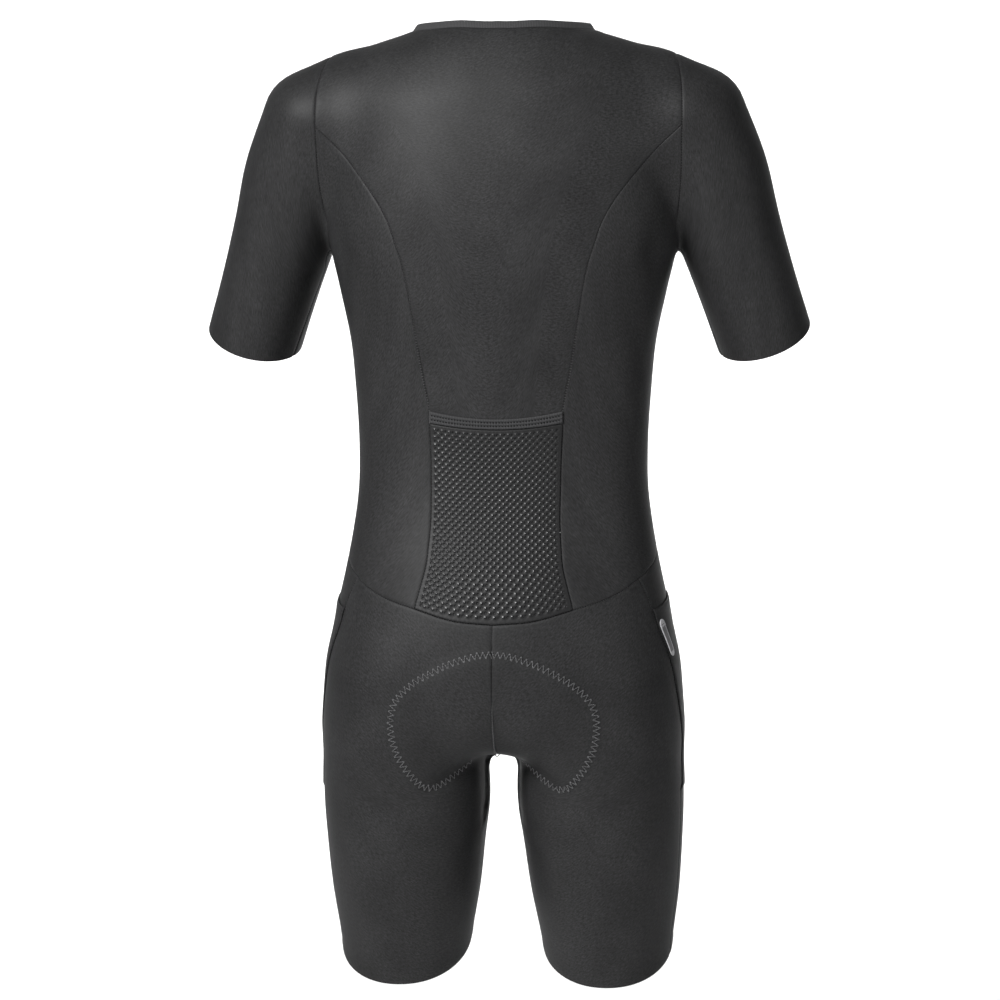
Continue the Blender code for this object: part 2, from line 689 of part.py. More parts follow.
def make_back(s):
    left = below(s["armhole_yoke"][::-1], s["back_seam"][:BACK_SEAM_STEPS + 1])
    across = 2 * SHOULDER_STEPS + NECK_BACK_STEPS
    top = np.concatenate((s["shoulder"], s["neck_back"][1:], mirrored(s["shoulder"])[::-1][1:]))
    lines = []
    for line in (POCKET_MOUTH, POCKET_BAND_FOOT, POCKET_FOOT):
        lines.append(level_line(line, float(back_seam_x(line[0])), across))
    lines.append(np.concatenate((s["waist_back"][::-1], mirrored(s["waist_back"])[1:])))
    grids = [patch(left, mirrored(left), top, lines[0])]
    start = BACK_SEAM_STEPS
    for k, steps in enumerate((1, POCKET_STEPS, POCKET_TAIL_STEPS)):
        edge = s["back_seam"][start:start + steps + 1]
        lines[k][0], lines[k][-1] = edge[0], mirrored(edge[0])
        grids.append(patch(edge, mirrored(edge), lines[k], lines[k + 1]))
        start += steps
    back = below(*grids)
    cloth("back_centre", back)
    mouth = ARMHOLE_YOKE_STEPS + BACK_SEAM_STEPS
    cloth("back_pocket_band", back[mouth:mouth + 2], finish="binding", lift=LAY_GAP, wall=BAND_WALL)
    cloth("back_pocket_mesh", back[mouth + 1:], finish="mesh", lift=LAY_GAP, wall=POCKET_WALL)


def make_upper_sides(s):
    waist = np.concatenate((s["waist_side_back"], s["waist_side"][1:]))
    pair("back_side", patch(s["back_seam"], s["side_seam"], s["armhole_back"][::-1], waist))
    outer = np.concatenate((s["armhole_front"], s["side_seam"][1:]))
    top = np.concatenate((s["shoulder"], s["neck_front"][1:]))
    waist = np.concatenate((s["waist_side_front"], s["waist_front"][1:]))
    pair("front", patch(outer, s["zip_edge"], top, waist))


def make_sleeves(s):
    grids = []
    for k, line in enumerate(s["underarm"]):
        grids.append(patch(line, line, s["sleeve_rings"][k], s["sleeve_rings"][k + 1]))
    pair("sleeve", below(*grids))


def make_shorts(s):
    hip, leg = slice(0, HIP_STEPS + 1), slice(HIP_STEPS, None)
    side_waist = np.concatenate((s["waist_side"], s["waist_side_front"][1:]))
    inner_back = below(s["centre_back"], s["inseam"])
    inner_front = below(s["centre_front"], s["inseam"])

    def cell(left, right, part, waist):
        upper = patch(left[hip], right[hip], waist, s["fold_" + part])
        return below(upper, patch(left[leg], right[leg], s["fold_" + part], s["hem_" + part]))

    back = beside(cell(inner_back, s["thigh_back"], "back", s["waist_back"]),
                  cell(s["thigh_back"], s["panel_back"], "back_outer", s["waist_side_back"]))
    side = cell(s["panel_back"], s["panel_front"], "side", side_waist)
    front = beside(cell(s["panel_front"], s["thigh_front"], "front_outer", s["waist_front_outer"]),
                   cell(s["thigh_front"], inner_front, "front", s["waist_front_inner"]))
    pair("shorts_back", back)
    pair("side_panel", side)
    pair("shorts_front", front)
    pair("thigh_pocket", side[2:HIP_STEPS + 1], lift=LAY_GAP, wall=POCKET_WALL)


def make_binding(s):
    """The neck's binding: a band that stands on the neck seam, open at the zip."""
    half = np.concatenate((s["neck_front"][::-1], s["neck_back"][1:]))
    ring = np.concatenate((s["neck_zip"][1:] + X_AXIS * SEAM_GAP / 2, half, mirrored(s["neck_front"])[1:],
                           mirrored(s["neck_zip"])[1:] - X_AXIS * SEAM_GAP / 2))
    facing = unit(slope(ring))
    run = unit(np.gradient(ring, axis=0))
    along = unit(np.cross(run, facing))
    along *= np.sign(along[:, 2:3])
    inward = unit(-ring * np.array((1.0, 1.0, 0.0)))
    stand = unit(Z_AXIS + BINDING_LEAN * inward)
    first = ring + along * SEAM_GAP / 2
    middle = first + unit(along + stand) * BINDING_HEIGHT * 0.35
    last = middle + stand * BINDING_HEIGHT * 0.65
    upright = unit(np.cross(stand, run))
    upright *= np.sign((upright * facing).sum(axis=1, keepdims=True))
    normals = np.stack((facing, unit(facing + upright), upright))
    outer = np.stack((first, middle, last))
    shell("neck_binding", outer, outer - normals * BINDING_WALL, "binding")


def make_zip(s):
    edge = s["zip_edge"]
    height = edge[:, 2].copy()
    height[0] = s["neck_zip"][-1][2] - BINDING_CLEAR
    inner = on_front(np.full(len(edge), CHAIN_HALF), height)
    pair("zip_tape", np.stack((edge, inner), axis=1), finish="tape", wall=TAPE_WALL)
    chain = np.stack((inner, mirrored(inner)), axis=1)
    facing = unit(slope(chain))
    strip = tuck(chain, facing, SEAM_GAP / 2)
    shell("zip_chain", strip + facing * CHAIN_PROUD, strip + facing * (CHAIN_PROUD - CHAIN_WALL), "teeth")


def block(name, size, centre, finish, hidden=False):
    """A box of a given size about a centre, in the zip's own axes."""
    mesh = bpy.data.meshes.new(name)
    bm = bmesh.new()
    bmesh.ops.create_cube(bm, size=1, matrix=Matrix.Translation(centre) @ Matrix.Diagonal((*size, 1)))
    bm.to_mesh(mesh)
    bm.free()
    obj = place(name, mesh, finish)
    if hidden:
        obj.hide_render = True
        obj.display_type = "WIRE"
    return obj


def boolean(obj, other, operation):
    modifier = obj.modifiers.new(operation.title(), "BOOLEAN")
    modifier.operation = operation
    modifier.object = other
    modifier.solver = "EXACT"


def chamfer(obj, width):
    modifier = obj.modifiers.new("Edges", "BEVEL")
    modifier.width = width
    modifier.segments = 1
    modifier.limit_method = "ANGLE"


def make_slider(s):
    """Slider and pull tab, in axes from the hinge: x across, y up the chain, z out of the cloth."""
    at = on_front(np.array((0.0,)), np.array((s["neck_front"][-1][2] - SLIDER_DROP,)))
    out = unit(slope(at))[0]
    up = unit(Z_AXIS - out * out[2])
    plate_foot = CHAIN_PROUD + LAY_GAP
    hinge = plate_foot + SLIDER_SIZE.z + (BRIDGE_SIZE.z - BRIDGE_BAR) / 2
    origin = Vector(at[0] + out * hinge)
    across = Vector(up).cross(Vector(out))
    frame = Matrix((across, Vector(up), Vector(out))).transposed().to_4x4()
    frame.translation = origin

    plate = block("zip_slider", SLIDER_SIZE, Vector((0, 0, plate_foot + SLIDER_SIZE.z / 2 - hinge)), "metal")
    chamfer(plate, SLIDER_CHAMFER)
    sink = 0.4 * MM
    middle = plate_foot + SLIDER_SIZE.z - hinge + (BRIDGE_SIZE.z - sink) / 2
    bridge_size = BRIDGE_SIZE + Vector((0, 0, sink))
    bridge = block("guide_bridge", bridge_size, Vector((0, 0, middle)), "metal", hidden=True)
    slot_size = Vector((6 * MM, BRIDGE_SIZE.y - 2 * BRIDGE_BAR, BRIDGE_SIZE.z - BRIDGE_BAR))
    slot = block("guide_slot", slot_size, Vector((0, 0, 0)), "metal", hidden=True)
    boolean(bridge, slot, "DIFFERENCE")
    boolean(plate, bridge, "UNION")

    top = PULL_WALL / 2
    tab_size = Vector((PULL_WIDTH, PULL_LENGTH, PULL_WALL))
    tab = block("zip_pull", tab_size, Vector((0, top - PULL_LENGTH / 2, 0)), "metal")
    eye_size = Vector((PULL_EYE.x, PULL_EYE.y, 4 * PULL_WALL))
    eye = block("guide_eye", eye_size, Vector((0, -top - PULL_EYE.y / 2, 0)), "metal", hidden=True)
    boolean(tab, eye, "DIFFERENCE")
    chamfer(tab, PULL_CHAMFER)
    for obj in (plate, bridge, slot, tab, eye):
        obj.matrix_world = frame
    return origin


def make_pad(s):
    """Padding inside the seat and under the crotch, on a level inside the cloth."""
    level = -(WALL + PAD_GAP)
    guide = np.array(PAD_EDGE) * MM
    share = np.linspace(0, 1, len(guide))
    t = np.linspace(0, 1, 10 * PAD_ROWS + 1)
    close = columns(*[np.interp(t, share, guide[:, k]) for k in range(3)])
    edge = settle(even(settle(close, level), PAD_ROWS), level)
    middle = below(s["centre_back"], s["centre_front"][::-1])
    run = np.concatenate(([0], np.cumsum(np.linalg.norm(np.diff(middle, axis=0), axis=1))))
    crotch = len(s["centre_back"]) - 1
    start = float(np.interp(-guide[0, 2], -middle[:crotch, 2], run[:crotch]))
    end = float(np.interp(-guide[-1, 1], -middle[crotch:, 1], run[crotch:]))
    middle = settle(even(middle, PAD_ROWS, start / run[-1], end / run[-1]), level)
    u = np.linspace(0, 1, PAD_COLUMNS + 1)[:, None]
    top = settle(edge[0] + (middle[0] - edge[0]) * u, level)
    bottom = settle(edge[-1] + (middle[-1] - edge[-1]) * u, level)
    half = patch(edge, middle, top, bottom, level)
    grid = beside(half, mirrored(half)[:, ::-1])
    rows, cols = np.arange(grid.shape[0]), np.arange(grid.shape[1])
    depth = np.minimum(np.minimum(rows, rows[::-1])[:, None] / 2, np.minimum(cols, cols[::-1])[None, :] / 2)
    wall = PAD_EDGE_WALL + (PAD_WALL - PAD_EDGE_WALL) * np.clip(depth, 0, 1) ** 0.7
    shell("seat_pad", grid, grid - unit(slope(grid)) * wall[..., None], "padding")


def make_tag(s):
    """Small reflective tag on the right thigh pocket, along the side panel's back edge."""
    t = np.linspace(0, 1, TAG_STEPS + 1)
    z = TAG_TOP_Z + (TAG_FOOT_Z - TAG_TOP_Z) * t
    edge = s["panel_back"][:HIP_STEPS + 1][::-1]
    spine = columns(*[np.interp(z, edge[:, 2], edge[:, k]) for k in range(3)])
    facing = unit(slope(spine))
    across = unit(np.cross(facing, unit(np.gradient(spine, axis=0))))
    across *= -np.sign(across[:, 1:2])
    length = TAG_TOP_Z - TAG_FOOT_Z
    from_end = np.minimum(t, 1 - t) * length
    half = TAG_HALF * np.sqrt(np.clip(1 - np.clip(1 - from_end / TAG_HALF, 0, 0.93) ** 2, 0, 1))
    middle = spine + across * (TAG_HALF + TAG_INSET)
    grid = np.stack([middle + across * half[:, None] * k for k in (-1, 0, 1)], axis=1)
    grid = settle(grid, LAY_GAP * 2 + POCKET_WALL)
    facing = unit(slope(grid))
    shell("side_tag", mirrored(grid + facing * TAG_WALL), mirrored(grid), "reflective")


def main():
    for obj in list(bpy.data.objects):
        bpy.data.objects.remove(obj)
    s = seams()
    make_back(s)
    make_upper_sides(s)
    make_sleeves(s)
    make_shorts(s)
    make_binding(s)
    make_zip(s)
    make_slider(s)
    make_pad(s)
    make_tag(s)


if __name__ == "__main__":
    main()
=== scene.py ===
"""Time trial skinsuit, worn and hollow, laid out as an add-on with one operator for each group of pieces.

Metres, +Z up. The garment's front faces -Y and the wearer's left is +X.
Tables are in millimetres and degrees.
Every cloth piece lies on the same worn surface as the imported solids, between the same seam lines.
"""
import math

import bmesh
import bpy
import numpy as np
from bpy.props import FloatProperty, IntProperty, PointerProperty, StringProperty
from mathutils import Matrix, Vector


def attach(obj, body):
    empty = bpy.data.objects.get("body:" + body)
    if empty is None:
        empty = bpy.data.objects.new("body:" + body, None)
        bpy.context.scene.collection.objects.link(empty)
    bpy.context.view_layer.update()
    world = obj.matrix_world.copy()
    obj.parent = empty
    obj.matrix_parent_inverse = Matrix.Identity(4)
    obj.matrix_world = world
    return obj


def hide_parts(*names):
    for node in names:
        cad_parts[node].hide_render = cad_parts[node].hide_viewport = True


bl_info = {
    "name": "Skinsuit",
    "version": (1, 0, 0),
    "blender": (4, 5, 0),
    "location": "View3D > Sidebar > Skinsuit",
    "description": "Builds a time trial skinsuit's cloth, mesh pocket, sewing and zip on its packed solids",
    "category": "Object",
}

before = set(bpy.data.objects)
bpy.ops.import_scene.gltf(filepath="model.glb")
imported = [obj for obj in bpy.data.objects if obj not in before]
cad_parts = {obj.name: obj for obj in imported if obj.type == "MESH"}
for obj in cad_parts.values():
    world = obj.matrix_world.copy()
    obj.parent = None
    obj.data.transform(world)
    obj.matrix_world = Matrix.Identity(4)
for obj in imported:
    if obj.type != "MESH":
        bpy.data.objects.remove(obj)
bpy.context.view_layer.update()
GARMENT = "garment"
SIDES = (("left", False), ("right", True))
ALL_ROUND = ("top", "foot", "left", "right")

MM = 0.001

# Cloth
WALL = 1.2 * MM
POCKET_WALL = 1.0 * MM
BAND_WALL = 1.6 * MM
SEAM_GAP = 0.4 * MM
LAY_GAP = 0.3 * MM

# Torso girths: height, half width, depth behind, depth in front
TORSO = (
    (40, 150, 60, 62),
    (-20, 168, 80, 74),
    (-60, 172, 92, 84),
    (-110, 173, 101, 96),
    (-160, 173, 105, 108),
    (-200, 172, 104, 113),
    (-245, 162, 100, 114),
    (-295, 151.5, 92, 110),
    (-340, 147, 86, 106),
    (-400, 143.5, 82, 102),
    (-440, 144, 85, 101),
    (-480, 149, 92, 101),
    (-520, 156.5, 103, 101),
    (-560, 165, 113, 100),
    (-600, 170.5, 119, 97),
    (-650, 173.5, 118, 93),
    (-700, 174.5, 104, 87),
    (-740, 174.5, 92, 80),
)
TORSO_POWER = 2.35

# Height of the shoulder's ridge, by distance from the centre plane
RIDGE = ((0, 36), (40, 31), (70, 20), (90, 11), (117, 2), (144, -6), (171, -11), (200, -20), (240, -45))
RIDGE_Y = -4 * MM
ARCH_RADIUS = 70 * MM
ROOF_SHARE = 0.88
SHOULDER_ROUND = 26 * MM

# Arm: its line from the shoulder to the sleeve's hem, and its sections by distance along that line
SHOULDER = np.array((186, 0, -76)) * MM
CUFF_CENTRE = np.array((257, -46, -290)) * MM
ARM = (
    (0, 54, 62),
    (60, 57, 61),
    (120, 52, 57),
    (180, 49, 54),
    (230, 48, 52),
    (270, 47, 51),
)
ARM_CAP = 50 * MM

# How wide the arm and the body run into each other, by height
ARM_BLEND = ((-240, 10), (-190, 12), (-130, 36), (-60, 44), (0, 44))

# Leg sections: height, centre across, centre forward or back, half width, half depth
LEG = (
    (-560, 92, 2, 72, 92),
    (-640, 95, 4, 78, 98),
    (-700, 97, 2, 81.4, 97),
    (-754, 97, -6, 82.6, 93),
    (-791, 98.7, -14, 79.3, 89),
    (-842, 100.2, -26, 74.3, 84),
    (-896, 101.8, -38, 66, 77),
    (-950, 104, -50, 61, 72),
)
LEG_POWER = 2.1
LEG_TOP_Z = -580 * MM
CROTCH_Z = -704 * MM
SEAT_CENTRE_Z = -600 * MM
INSEAM_TOP = np.array((10, 0, -707.5)) * MM
INSEAM_Z = -718 * MM
SEAT_ROUND = 46 * MM
THIGH_ROUND = 18 * MM

# Neck seam in plan, and its height by angle from the centre back
NECK_HALF_WIDTH = 90 * MM
NECK_BACK = 58 * MM
NECK_FRONT = 80 * MM
NECK_HEIGHT = ((0, 9), (45, 11), (90, 9), (135, -8), (180, -24))
NECK_SHOULDER_ANGLE = 99
BINDING_HEIGHT = 8 * MM
BINDING_WALL = 1.8 * MM
BINDING_LEAN = 0.58

# Armhole seam: height, distance from the centre plane
ARMHOLE = (
    (-13, 171), (-28, 175), (-47, 178), (-70, 179), (-110, 178.5), (-131, 178),
    (-151, 176.5), (-167, 174.5), (-186, 172), (-200, 172),
)
ARMHOLE_CENTRE_Z = -105 * MM
ARMHOLE_SHOULDER_ANGLE = 189

# Curved back seam: height, distance from the centre plane
BACK_SEAM = (
    (-89, 178), (-111, 155), (-131, 138.5), (-150, 124), (-167, 112.5), (-184, 103.5), (-203, 97),
    (-223, 90.5), (-247, 85.3), (-266, 82), (-293, 77.8), (-334, 71), (-364, 65.2), (-376, 65),
    (-410, 63.6), (-445, 63), (-473, 63), (-496, 64.6), (-515, 66.5), (-532, 70.8), (-554, 76.8),
)
BACK_SEAM_TOP_Z = -89 * MM

# Back pocket: three level lines, each its height at the curved seams and how far its middle hangs lower
POCKET_MOUTH = (-364.4 * MM, 8 * MM)
POCKET_BAND_FOOT = (-376.5 * MM, 6.4 * MM)
POCKET_FOOT = (-515 * MM, 0)

# Waist seam: angle from the centre back, height
WAIST = (
    (0, -570), (20, -566), (38, -554.5), (49, -547), (58, -538), (66, -528), (75, -517), (84, -508),
    (95, -500), (115, -494), (150, -491), (180, -490),
)
BACK_SEAM_FOOT_X = 77 * MM
SIDE_PANEL_FRONT_ANGLE = 124
SIDE_SEAM_ANGLE = 97

# Leg stations: angle from the inseam round the back of the thigh
THIGH_BACK_ANGLE = 100
SIDE_PANEL_BACK_ANGLE = 166
SIDE_PANEL_FORE_ANGLE = 236
THIGH_FRONT_ANGLE = 300

# Back edge of the side panel above the thigh: height, distance from the centre plane
SIDE_PANEL_EDGE = (
    (-526, 138), (-542, 145), (-558, 151), (-576, 156), (-594, 160.5), (-622, 165), (-645, 167),
    (-690, 168.5), (-735, 169),
)
THIGH_POCKET_MOUTH_Z = -558 * MM

# Seat fold, which parts the rows of the hip from those of the leg: angle, rise per metre from the leg's line
SEAT_FOLD = (
    (0, 0.12), (45, -0.12), (90, -0.35), (135, -0.3), (180, -0.2), (225, -0.3), (270, -0.35),
    (315, -0.12), (360, 0.12),
)
SEAT_FOLD_Z = -720 * MM
LEG_HEM_Z = -902 * MM
LEG_HEM_TILT = 27.5
CUFF_TILT = 27
UNDERARM_SEAM_ANGLE = 22
BICEP_ALONG = 142 * MM
CAP_CENTRE = np.array((222, -18, -158)) * MM
CAP_TURN = 36

# Rows and columns of the grids
FINE = 4
EASE_ROUNDS = 6
ARMHOLE_BACK_STEPS = 7 * FINE
ARMHOLE_YOKE_STEPS = 4 * FINE
ARMHOLE_FRONT_STEPS = 9 * FINE
BACK_SEAM_STEPS = 12 * FINE
BAND_STEPS = 3
POCKET_STEPS = 6 * FINE
POCKET_TAIL_STEPS = 2 * FINE
SHOULDER_STEPS = 3 * FINE
NECK_BACK_STEPS = 8 * FINE
NECK_FRONT_STEPS = 5 * FINE
SIDE_SHARE = (4 * FINE, 3 * FINE, 2 * FINE, 6 * FINE)
FRONT_SPLIT = 4 * FINE
MOUTH_STEPS = 2 * FINE
HIP_STEPS = 10 * FINE
LEG_STEPS = 8 * FINE
SLEEVE_STEPS = (5 * FINE, 3 * FINE, 5 * FINE)

# Zip
ZIP_EDGE = 8.3 * MM
CHAIN_HALF = 3.0 * MM
TAPE_WALL = 1.0 * MM
BINDING_CLEAR = 0.8 * MM

# Seat pad: its left edge from the back round under the crotch, across, fore and aft, and height
PAD_EDGE = (
    (24, 116, -603),
    (62, 106, -621),
    (90, 92, -650),
    (101, 84, -688),
    (90, 80, -720),
    (62, 66, -741),
    (36, 34, -742),
    (22, -4, -738),
    (17, -14, -728),
    (10, -20, -716),
    (5, -22, -706),
)
PAD_ROWS = 16
PAD_COLUMNS = 5
PAD_WALL = 5.0 * MM
PAD_EDGE_WALL = 2.0 * MM
PAD_GAP = 2.2 * MM

# Side tag
TAG_TOP_Z = -570 * MM
TAG_FOOT_Z = -606 * MM
TAG_HALF = 5.2 * MM
TAG_INSET = 1.0 * MM

# Where the pad's stitching shows on the seat's left half: distance from the centre plane, height
PAD_STITCHING = (
    (0, -598), (14, -599), (27, -602.6), (44.3, -608.8), (58.8, -616.5), (73.3, -624.3), (86.2, -634.9),
    (95.4, -645.6), (99, -657.2), (100, -668.8), (98.5, -683.3), (94.4, -696.9), (88, -709.5), (79.5, -721),
    (70.5, -730.3), (59, -732.7), (48.5, -727), (36, -717), (23, -706.6),
)
PAD_SHOWS = 1.6 * MM
SEAT_HOLLOW = 5.0 * MM

# Soft creases: side, face, then start, bend and end (distance from the centre plane, height), width, depth
CREASES = (
    (1, 1, (14, -704), (44, -724), (80, -738), 8, -3.4),
    (-1, 1, (14, -704), (44, -724), (84, -738), 8, -3.6),
    (1, 1, (60, -742), (110, -752), (150, -748), 16, -2.0),
    (-1, 1, (60, -742), (110, -746), (158, -736), 16, -2.2),
    (1, 1, (150, -178), (157, -205), (150, -236), 11, -2.2),
    (-1, 1, (150, -178), (158, -200), (152, -226), 11, -2.0),
    (1, 1, (20, -300), (60, -330), (120, -336), 26, -1.4),
    (-1, 1, (20, -306), (60, -330), (120, -342), 26, -1.4),
    (1, -1, (40, -712), (70, -726), (110, -730), 10, -2.4),
    (-1, -1, (40, -712), (70, -724), (112, -732), 10, -2.4),
    (1, -1, (140, -170), (150, -200), (146, -236), 12, -2.0),
    (-1, -1, (140, -170), (150, -200), (146, -236), 12, -2.0),
)

# Tag's folded rim
TAG_FOLD = 6.2 * MM

# Sewing
SEAM_THREAD = 0.34 * MM
RUNG_HALF = 0.9 * MM
RUNG_DEPTH = 0.75 * MM
CENTRE_RUNG_HALF = 0.7 * MM
INNER_DEPTH = 1.1 * MM
INNER_RUNS = 120
WHOLE_RUN = 0.9999
ZIGZAG_PITCH = 5.6 * MM
ZIGZAG_HALF = 3.4 * MM
HEM_HEIGHT = 10 * MM

# Studio and camera
FLOOR_Z = -1.4
SWEEP_START = 3.2
SWEEP_ROUND = 1.2
SWEEP_HALF = 6.0
SWEEP_TOP = 5.0
SENSOR = 36
CAMERA_AZIMUTH = 185.5
CAMERA_DISTANCE = 3.1
CAMERA_Z = -0.33
CAMERA_AIM = (0.0035, 0.0, -0.454)
CAMERA_SCALE = 1.006

TINY = 1e-9
X_AXIS = np.array((1.0, 0.0, 0.0))
Y_AXIS = np.array((0.0, 1.0, 0.0))
Z_AXIS = np.array((0.0, 0.0, 1.0))


# Reading the tables

def curve(rows, column=1, unit=MM, scale=MM):
    """A smooth curve through one column of a table, read by its first column."""
    rows = sorted(rows)
    knots = np.array([row[0] for row in rows]) * unit
    values = np.array([row[column] for row in rows]) * scale
    slopes = np.gradient(values, knots)

    def read(at):
        at = np.clip(at, knots[0], knots[-1])
        i = np.clip(np.searchsorted(knots, at) - 1, 0, len(knots) - 2)
        span = knots[i + 1] - knots[i]
        t = (at - knots[i]) / span
        keep = (1 + 2 * t) * (1 - t) ** 2
        bend = (1 - t) * slopes[i] - t * slopes[i + 1]
        return keep * values[i] + (1 - keep) * values[i + 1] + span * t * (1 - t) * bend

    return read


torso_half, torso_back, torso_front = (curve(TORSO, k) for k in (1, 2, 3))
leg_x, leg_y, leg_half, leg_deep = (curve(LEG, k) for k in (1, 2, 3, 4))
arm_half, arm_deep = (curve(ARM, k) for k in (1, 2))
arm_blend = curve(ARM_BLEND)
ridge = curve(RIDGE)
armhole_x = curve(ARMHOLE)
back_seam_x = curve(BACK_SEAM)
side_panel_x = curve(SIDE_PANEL_EDGE)
neck_z = curve(NECK_HEIGHT, unit=1)
waist_z = curve(WAIST, unit=1)
seat_fold_rise = curve(SEAT_FOLD, unit=1, scale=1)


# The general figure that the garment is shaped on, as a distance field

def unit(vectors):
    return vectors / (np.linalg.norm(vectors, axis=-1, keepdims=True) + TINY)


ARM_LINE = unit(CUFF_CENTRE - SHOULDER)
ARM_OUT = unit(X_AXIS - ARM_LINE * ARM_LINE[0])
ARM_BACK = np.cross(ARM_OUT, ARM_LINE)
if ARM_BACK[1] < 0:
    ARM_BACK = -ARM_BACK


def blend_min(a, b, width):
    h = np.maximum(width - np.abs(a - b), 0) / width
    return np.minimum(a, b) - h * h * width / 4


def blend_max(a, b, width):
    return -blend_min(-a, -b, width)


def section_gap(across, deep, half_width, half_depth, power):
    """Distance from a rounded section, along the line from its centre, positive outside."""
    across = across + TINY
    share = (np.abs(across / half_width) ** power + np.abs(deep / half_depth) ** power) ** (1 / power)
    reach = np.hypot(across, deep)
    return reach - reach / share


def torso_gap(x, y, z):
    deep = np.where(y > 0, torso_back(z), torso_front(z))
    sides = section_gap(x, y, torso_half(z), deep, TORSO_POWER)
    roof = (z - ridge(x) + (y - RIDGE_Y) ** 2 / (2 * ARCH_RADIUS)) * ROOF_SHARE
    return blend_max(blend_max(sides, roof, SHOULDER_ROUND), CROTCH_Z - z, SEAT_ROUND)


def arm_gap(x, y, z):
    place = np.stack((x, y, z), axis=-1) - SHOULDER
    along, out, back = place @ ARM_LINE, place @ ARM_OUT, place @ ARM_BACK
    over = np.minimum(along, 0) - TINY
    share = np.sqrt((out / arm_half(along)) ** 2 + (back / arm_deep(along)) ** 2 + (over / ARM_CAP) ** 2)
    reach = np.sqrt(out ** 2 + back ** 2 + over ** 2)
    return reach - reach / share


def leg_gap(x, y, z):
    sides = section_gap(x - leg_x(z), y - leg_y(z), leg_half(z), leg_deep(z), LEG_POWER)
    return blend_max(sides, z - LEG_TOP_Z, SEAT_ROUND)


def gap(points):
    """Distance from the worn surface, positive outside."""
    x, y, z = np.abs(points[..., 0]), points[..., 1], points[..., 2]
    upper = blend_min(torso_gap(x, y, z), arm_gap(x, y, z), arm_blend(z))
    return blend_min(upper, leg_gap(x, y, z), THIGH_ROUND)


def slope(points, step=0.5 * MM):
    parts = [gap(points + axis * step) - gap(points - axis * step) for axis in (X_AXIS, Y_AXIS, Z_AXIS)]
    return np.stack(parts, axis=-1) / (2 * step)


def settle(points, level=0.0, rounds=10, longest=12 * MM):
    """Moves points along the slope onto the worn surface, or to a level of the distance from it."""
    for _ in range(rounds):
        rise = slope(points)
        move = rise * ((gap(points) - level) / ((rise ** 2).sum(axis=-1) + TINY))[..., None]
        size = np.linalg.norm(move, axis=-1, keepdims=True)
        points = points - move * np.minimum(1, longest / (size + TINY))
    return points


def cast(origins, directions, reach=0.36, samples=181):
    """First place where rays from inside the figure leave it."""
    directions = unit(directions)
    origins = np.broadcast_to(origins, directions.shape)
    steps = np.linspace(0, reach, samples)
    outside = gap(origins + steps[:, None, None] * directions) > 0
    first = np.argmax(outside, axis=0)
    low, high = steps[np.maximum(first - 1, 0)], steps[first]
    for _ in range(26):
        middle = (low + high) / 2
        out = gap(origins + middle[:, None] * directions) > 0
        low, high = np.where(out, low, middle), np.where(out, middle, high)
    return origins + high[:, None] * directions


def columns(*values):
    """Points from coordinates, each a number or an array."""
    return np.stack(np.broadcast_arrays(*[np.asarray(v, dtype=float) for v in values]), axis=-1)


def runs(points, axis=0):
    """Distance along each line of a grid."""
    steps = np.linalg.norm(np.diff(points, axis=axis), axis=-1)
    start = np.zeros_like(np.take(steps, [0], axis=axis))
    return np.concatenate((start, np.cumsum(steps, axis=axis)), axis=axis)


def follow(line, where, measure):
    """Points of a line where a measure that rises along it reaches some values."""
    return columns(*[np.interp(where, measure, line[:, k]) for k in range(3)])


def even(points, steps, start=0.0, end=1.0, ease=0.0):
    """Points along part of a close row of points; with an ease above 0 they close up towards the end."""
    run = runs(points)
    t = np.linspace(0, 1, steps + 1)
    at = (start + (end - start) * t * (1 + ease * (1 - t))) * run[-1]
    return follow(points, at, run)


def mirrored(points):
    return points * np.array((-1.0, 1.0, 1.0))


# Seam lines of the left half

def on_back(x, z):
    return cast(columns(x, 0, z), columns(0 * np.asarray(x), 1, 0))


def on_front(x, z):
    return cast(columns(x, 0, z), columns(0 * np.asarray(x), -1, 0))


def armhole_ring():
    """Close points round the armhole, from the armpit up the back, over the shoulder and down the front."""
    angle = np.radians(np.linspace(0, 360, 241))
    height = np.full_like(angle, ARMHOLE_CENTRE_Z)
    aim = columns(0 * angle, np.sin(angle), -np.cos(angle))
    for _ in range(5):
        ring = cast(columns(armhole_x(height), 0, ARMHOLE_CENTRE_Z), aim)
        height = ring[:, 2]
    return ring


def neck_ring(start, end, close=61):
    """Close points along the neck seam between two angles from the centre back."""
    angle = np.linspace(start, end, close)
    turn = np.radians(angle)
    deep = np.where(np.cos(turn) > 0, NECK_BACK, NECK_FRONT)
    aim = columns(NECK_HALF_WIDTH * np.sin(turn), deep * np.cos(turn), neck_z(angle))
    inside = np.array((0, -4 * MM, -90 * MM))
    return cast(inside, aim - inside)


def waist_ring(start, end, close=61):
    angle = np.linspace(start, end, close)
    turn = np.radians(angle)
    height = waist_z(angle)
    return cast(columns(0, 0, height), columns(np.sin(turn), np.cos(turn), 0))


def waist_angle(x):
    """Angle of the waist seam's back half at a distance from the centre plane."""
    ring = waist_ring(0, 90, 181)
    return float(np.interp(x, ring[:, 0], np.linspace(0, 90, 181)))


def leg_ring(centre_z, rise, start, end, close=61):
    """Close points round the left leg, in a plane or fold that rises with the angle from the inseam."""
    angle = np.linspace(start, end, close)
    turn = np.radians(angle)
    centre = np.array((leg_x(centre_z), leg_y(centre_z), centre_z))
    return cast(centre, columns(-np.cos(turn), np.sin(turn), rise(angle)))


def seat_fold(start, end):
    return leg_ring(SEAT_FOLD_Z, seat_fold_rise, start, end)


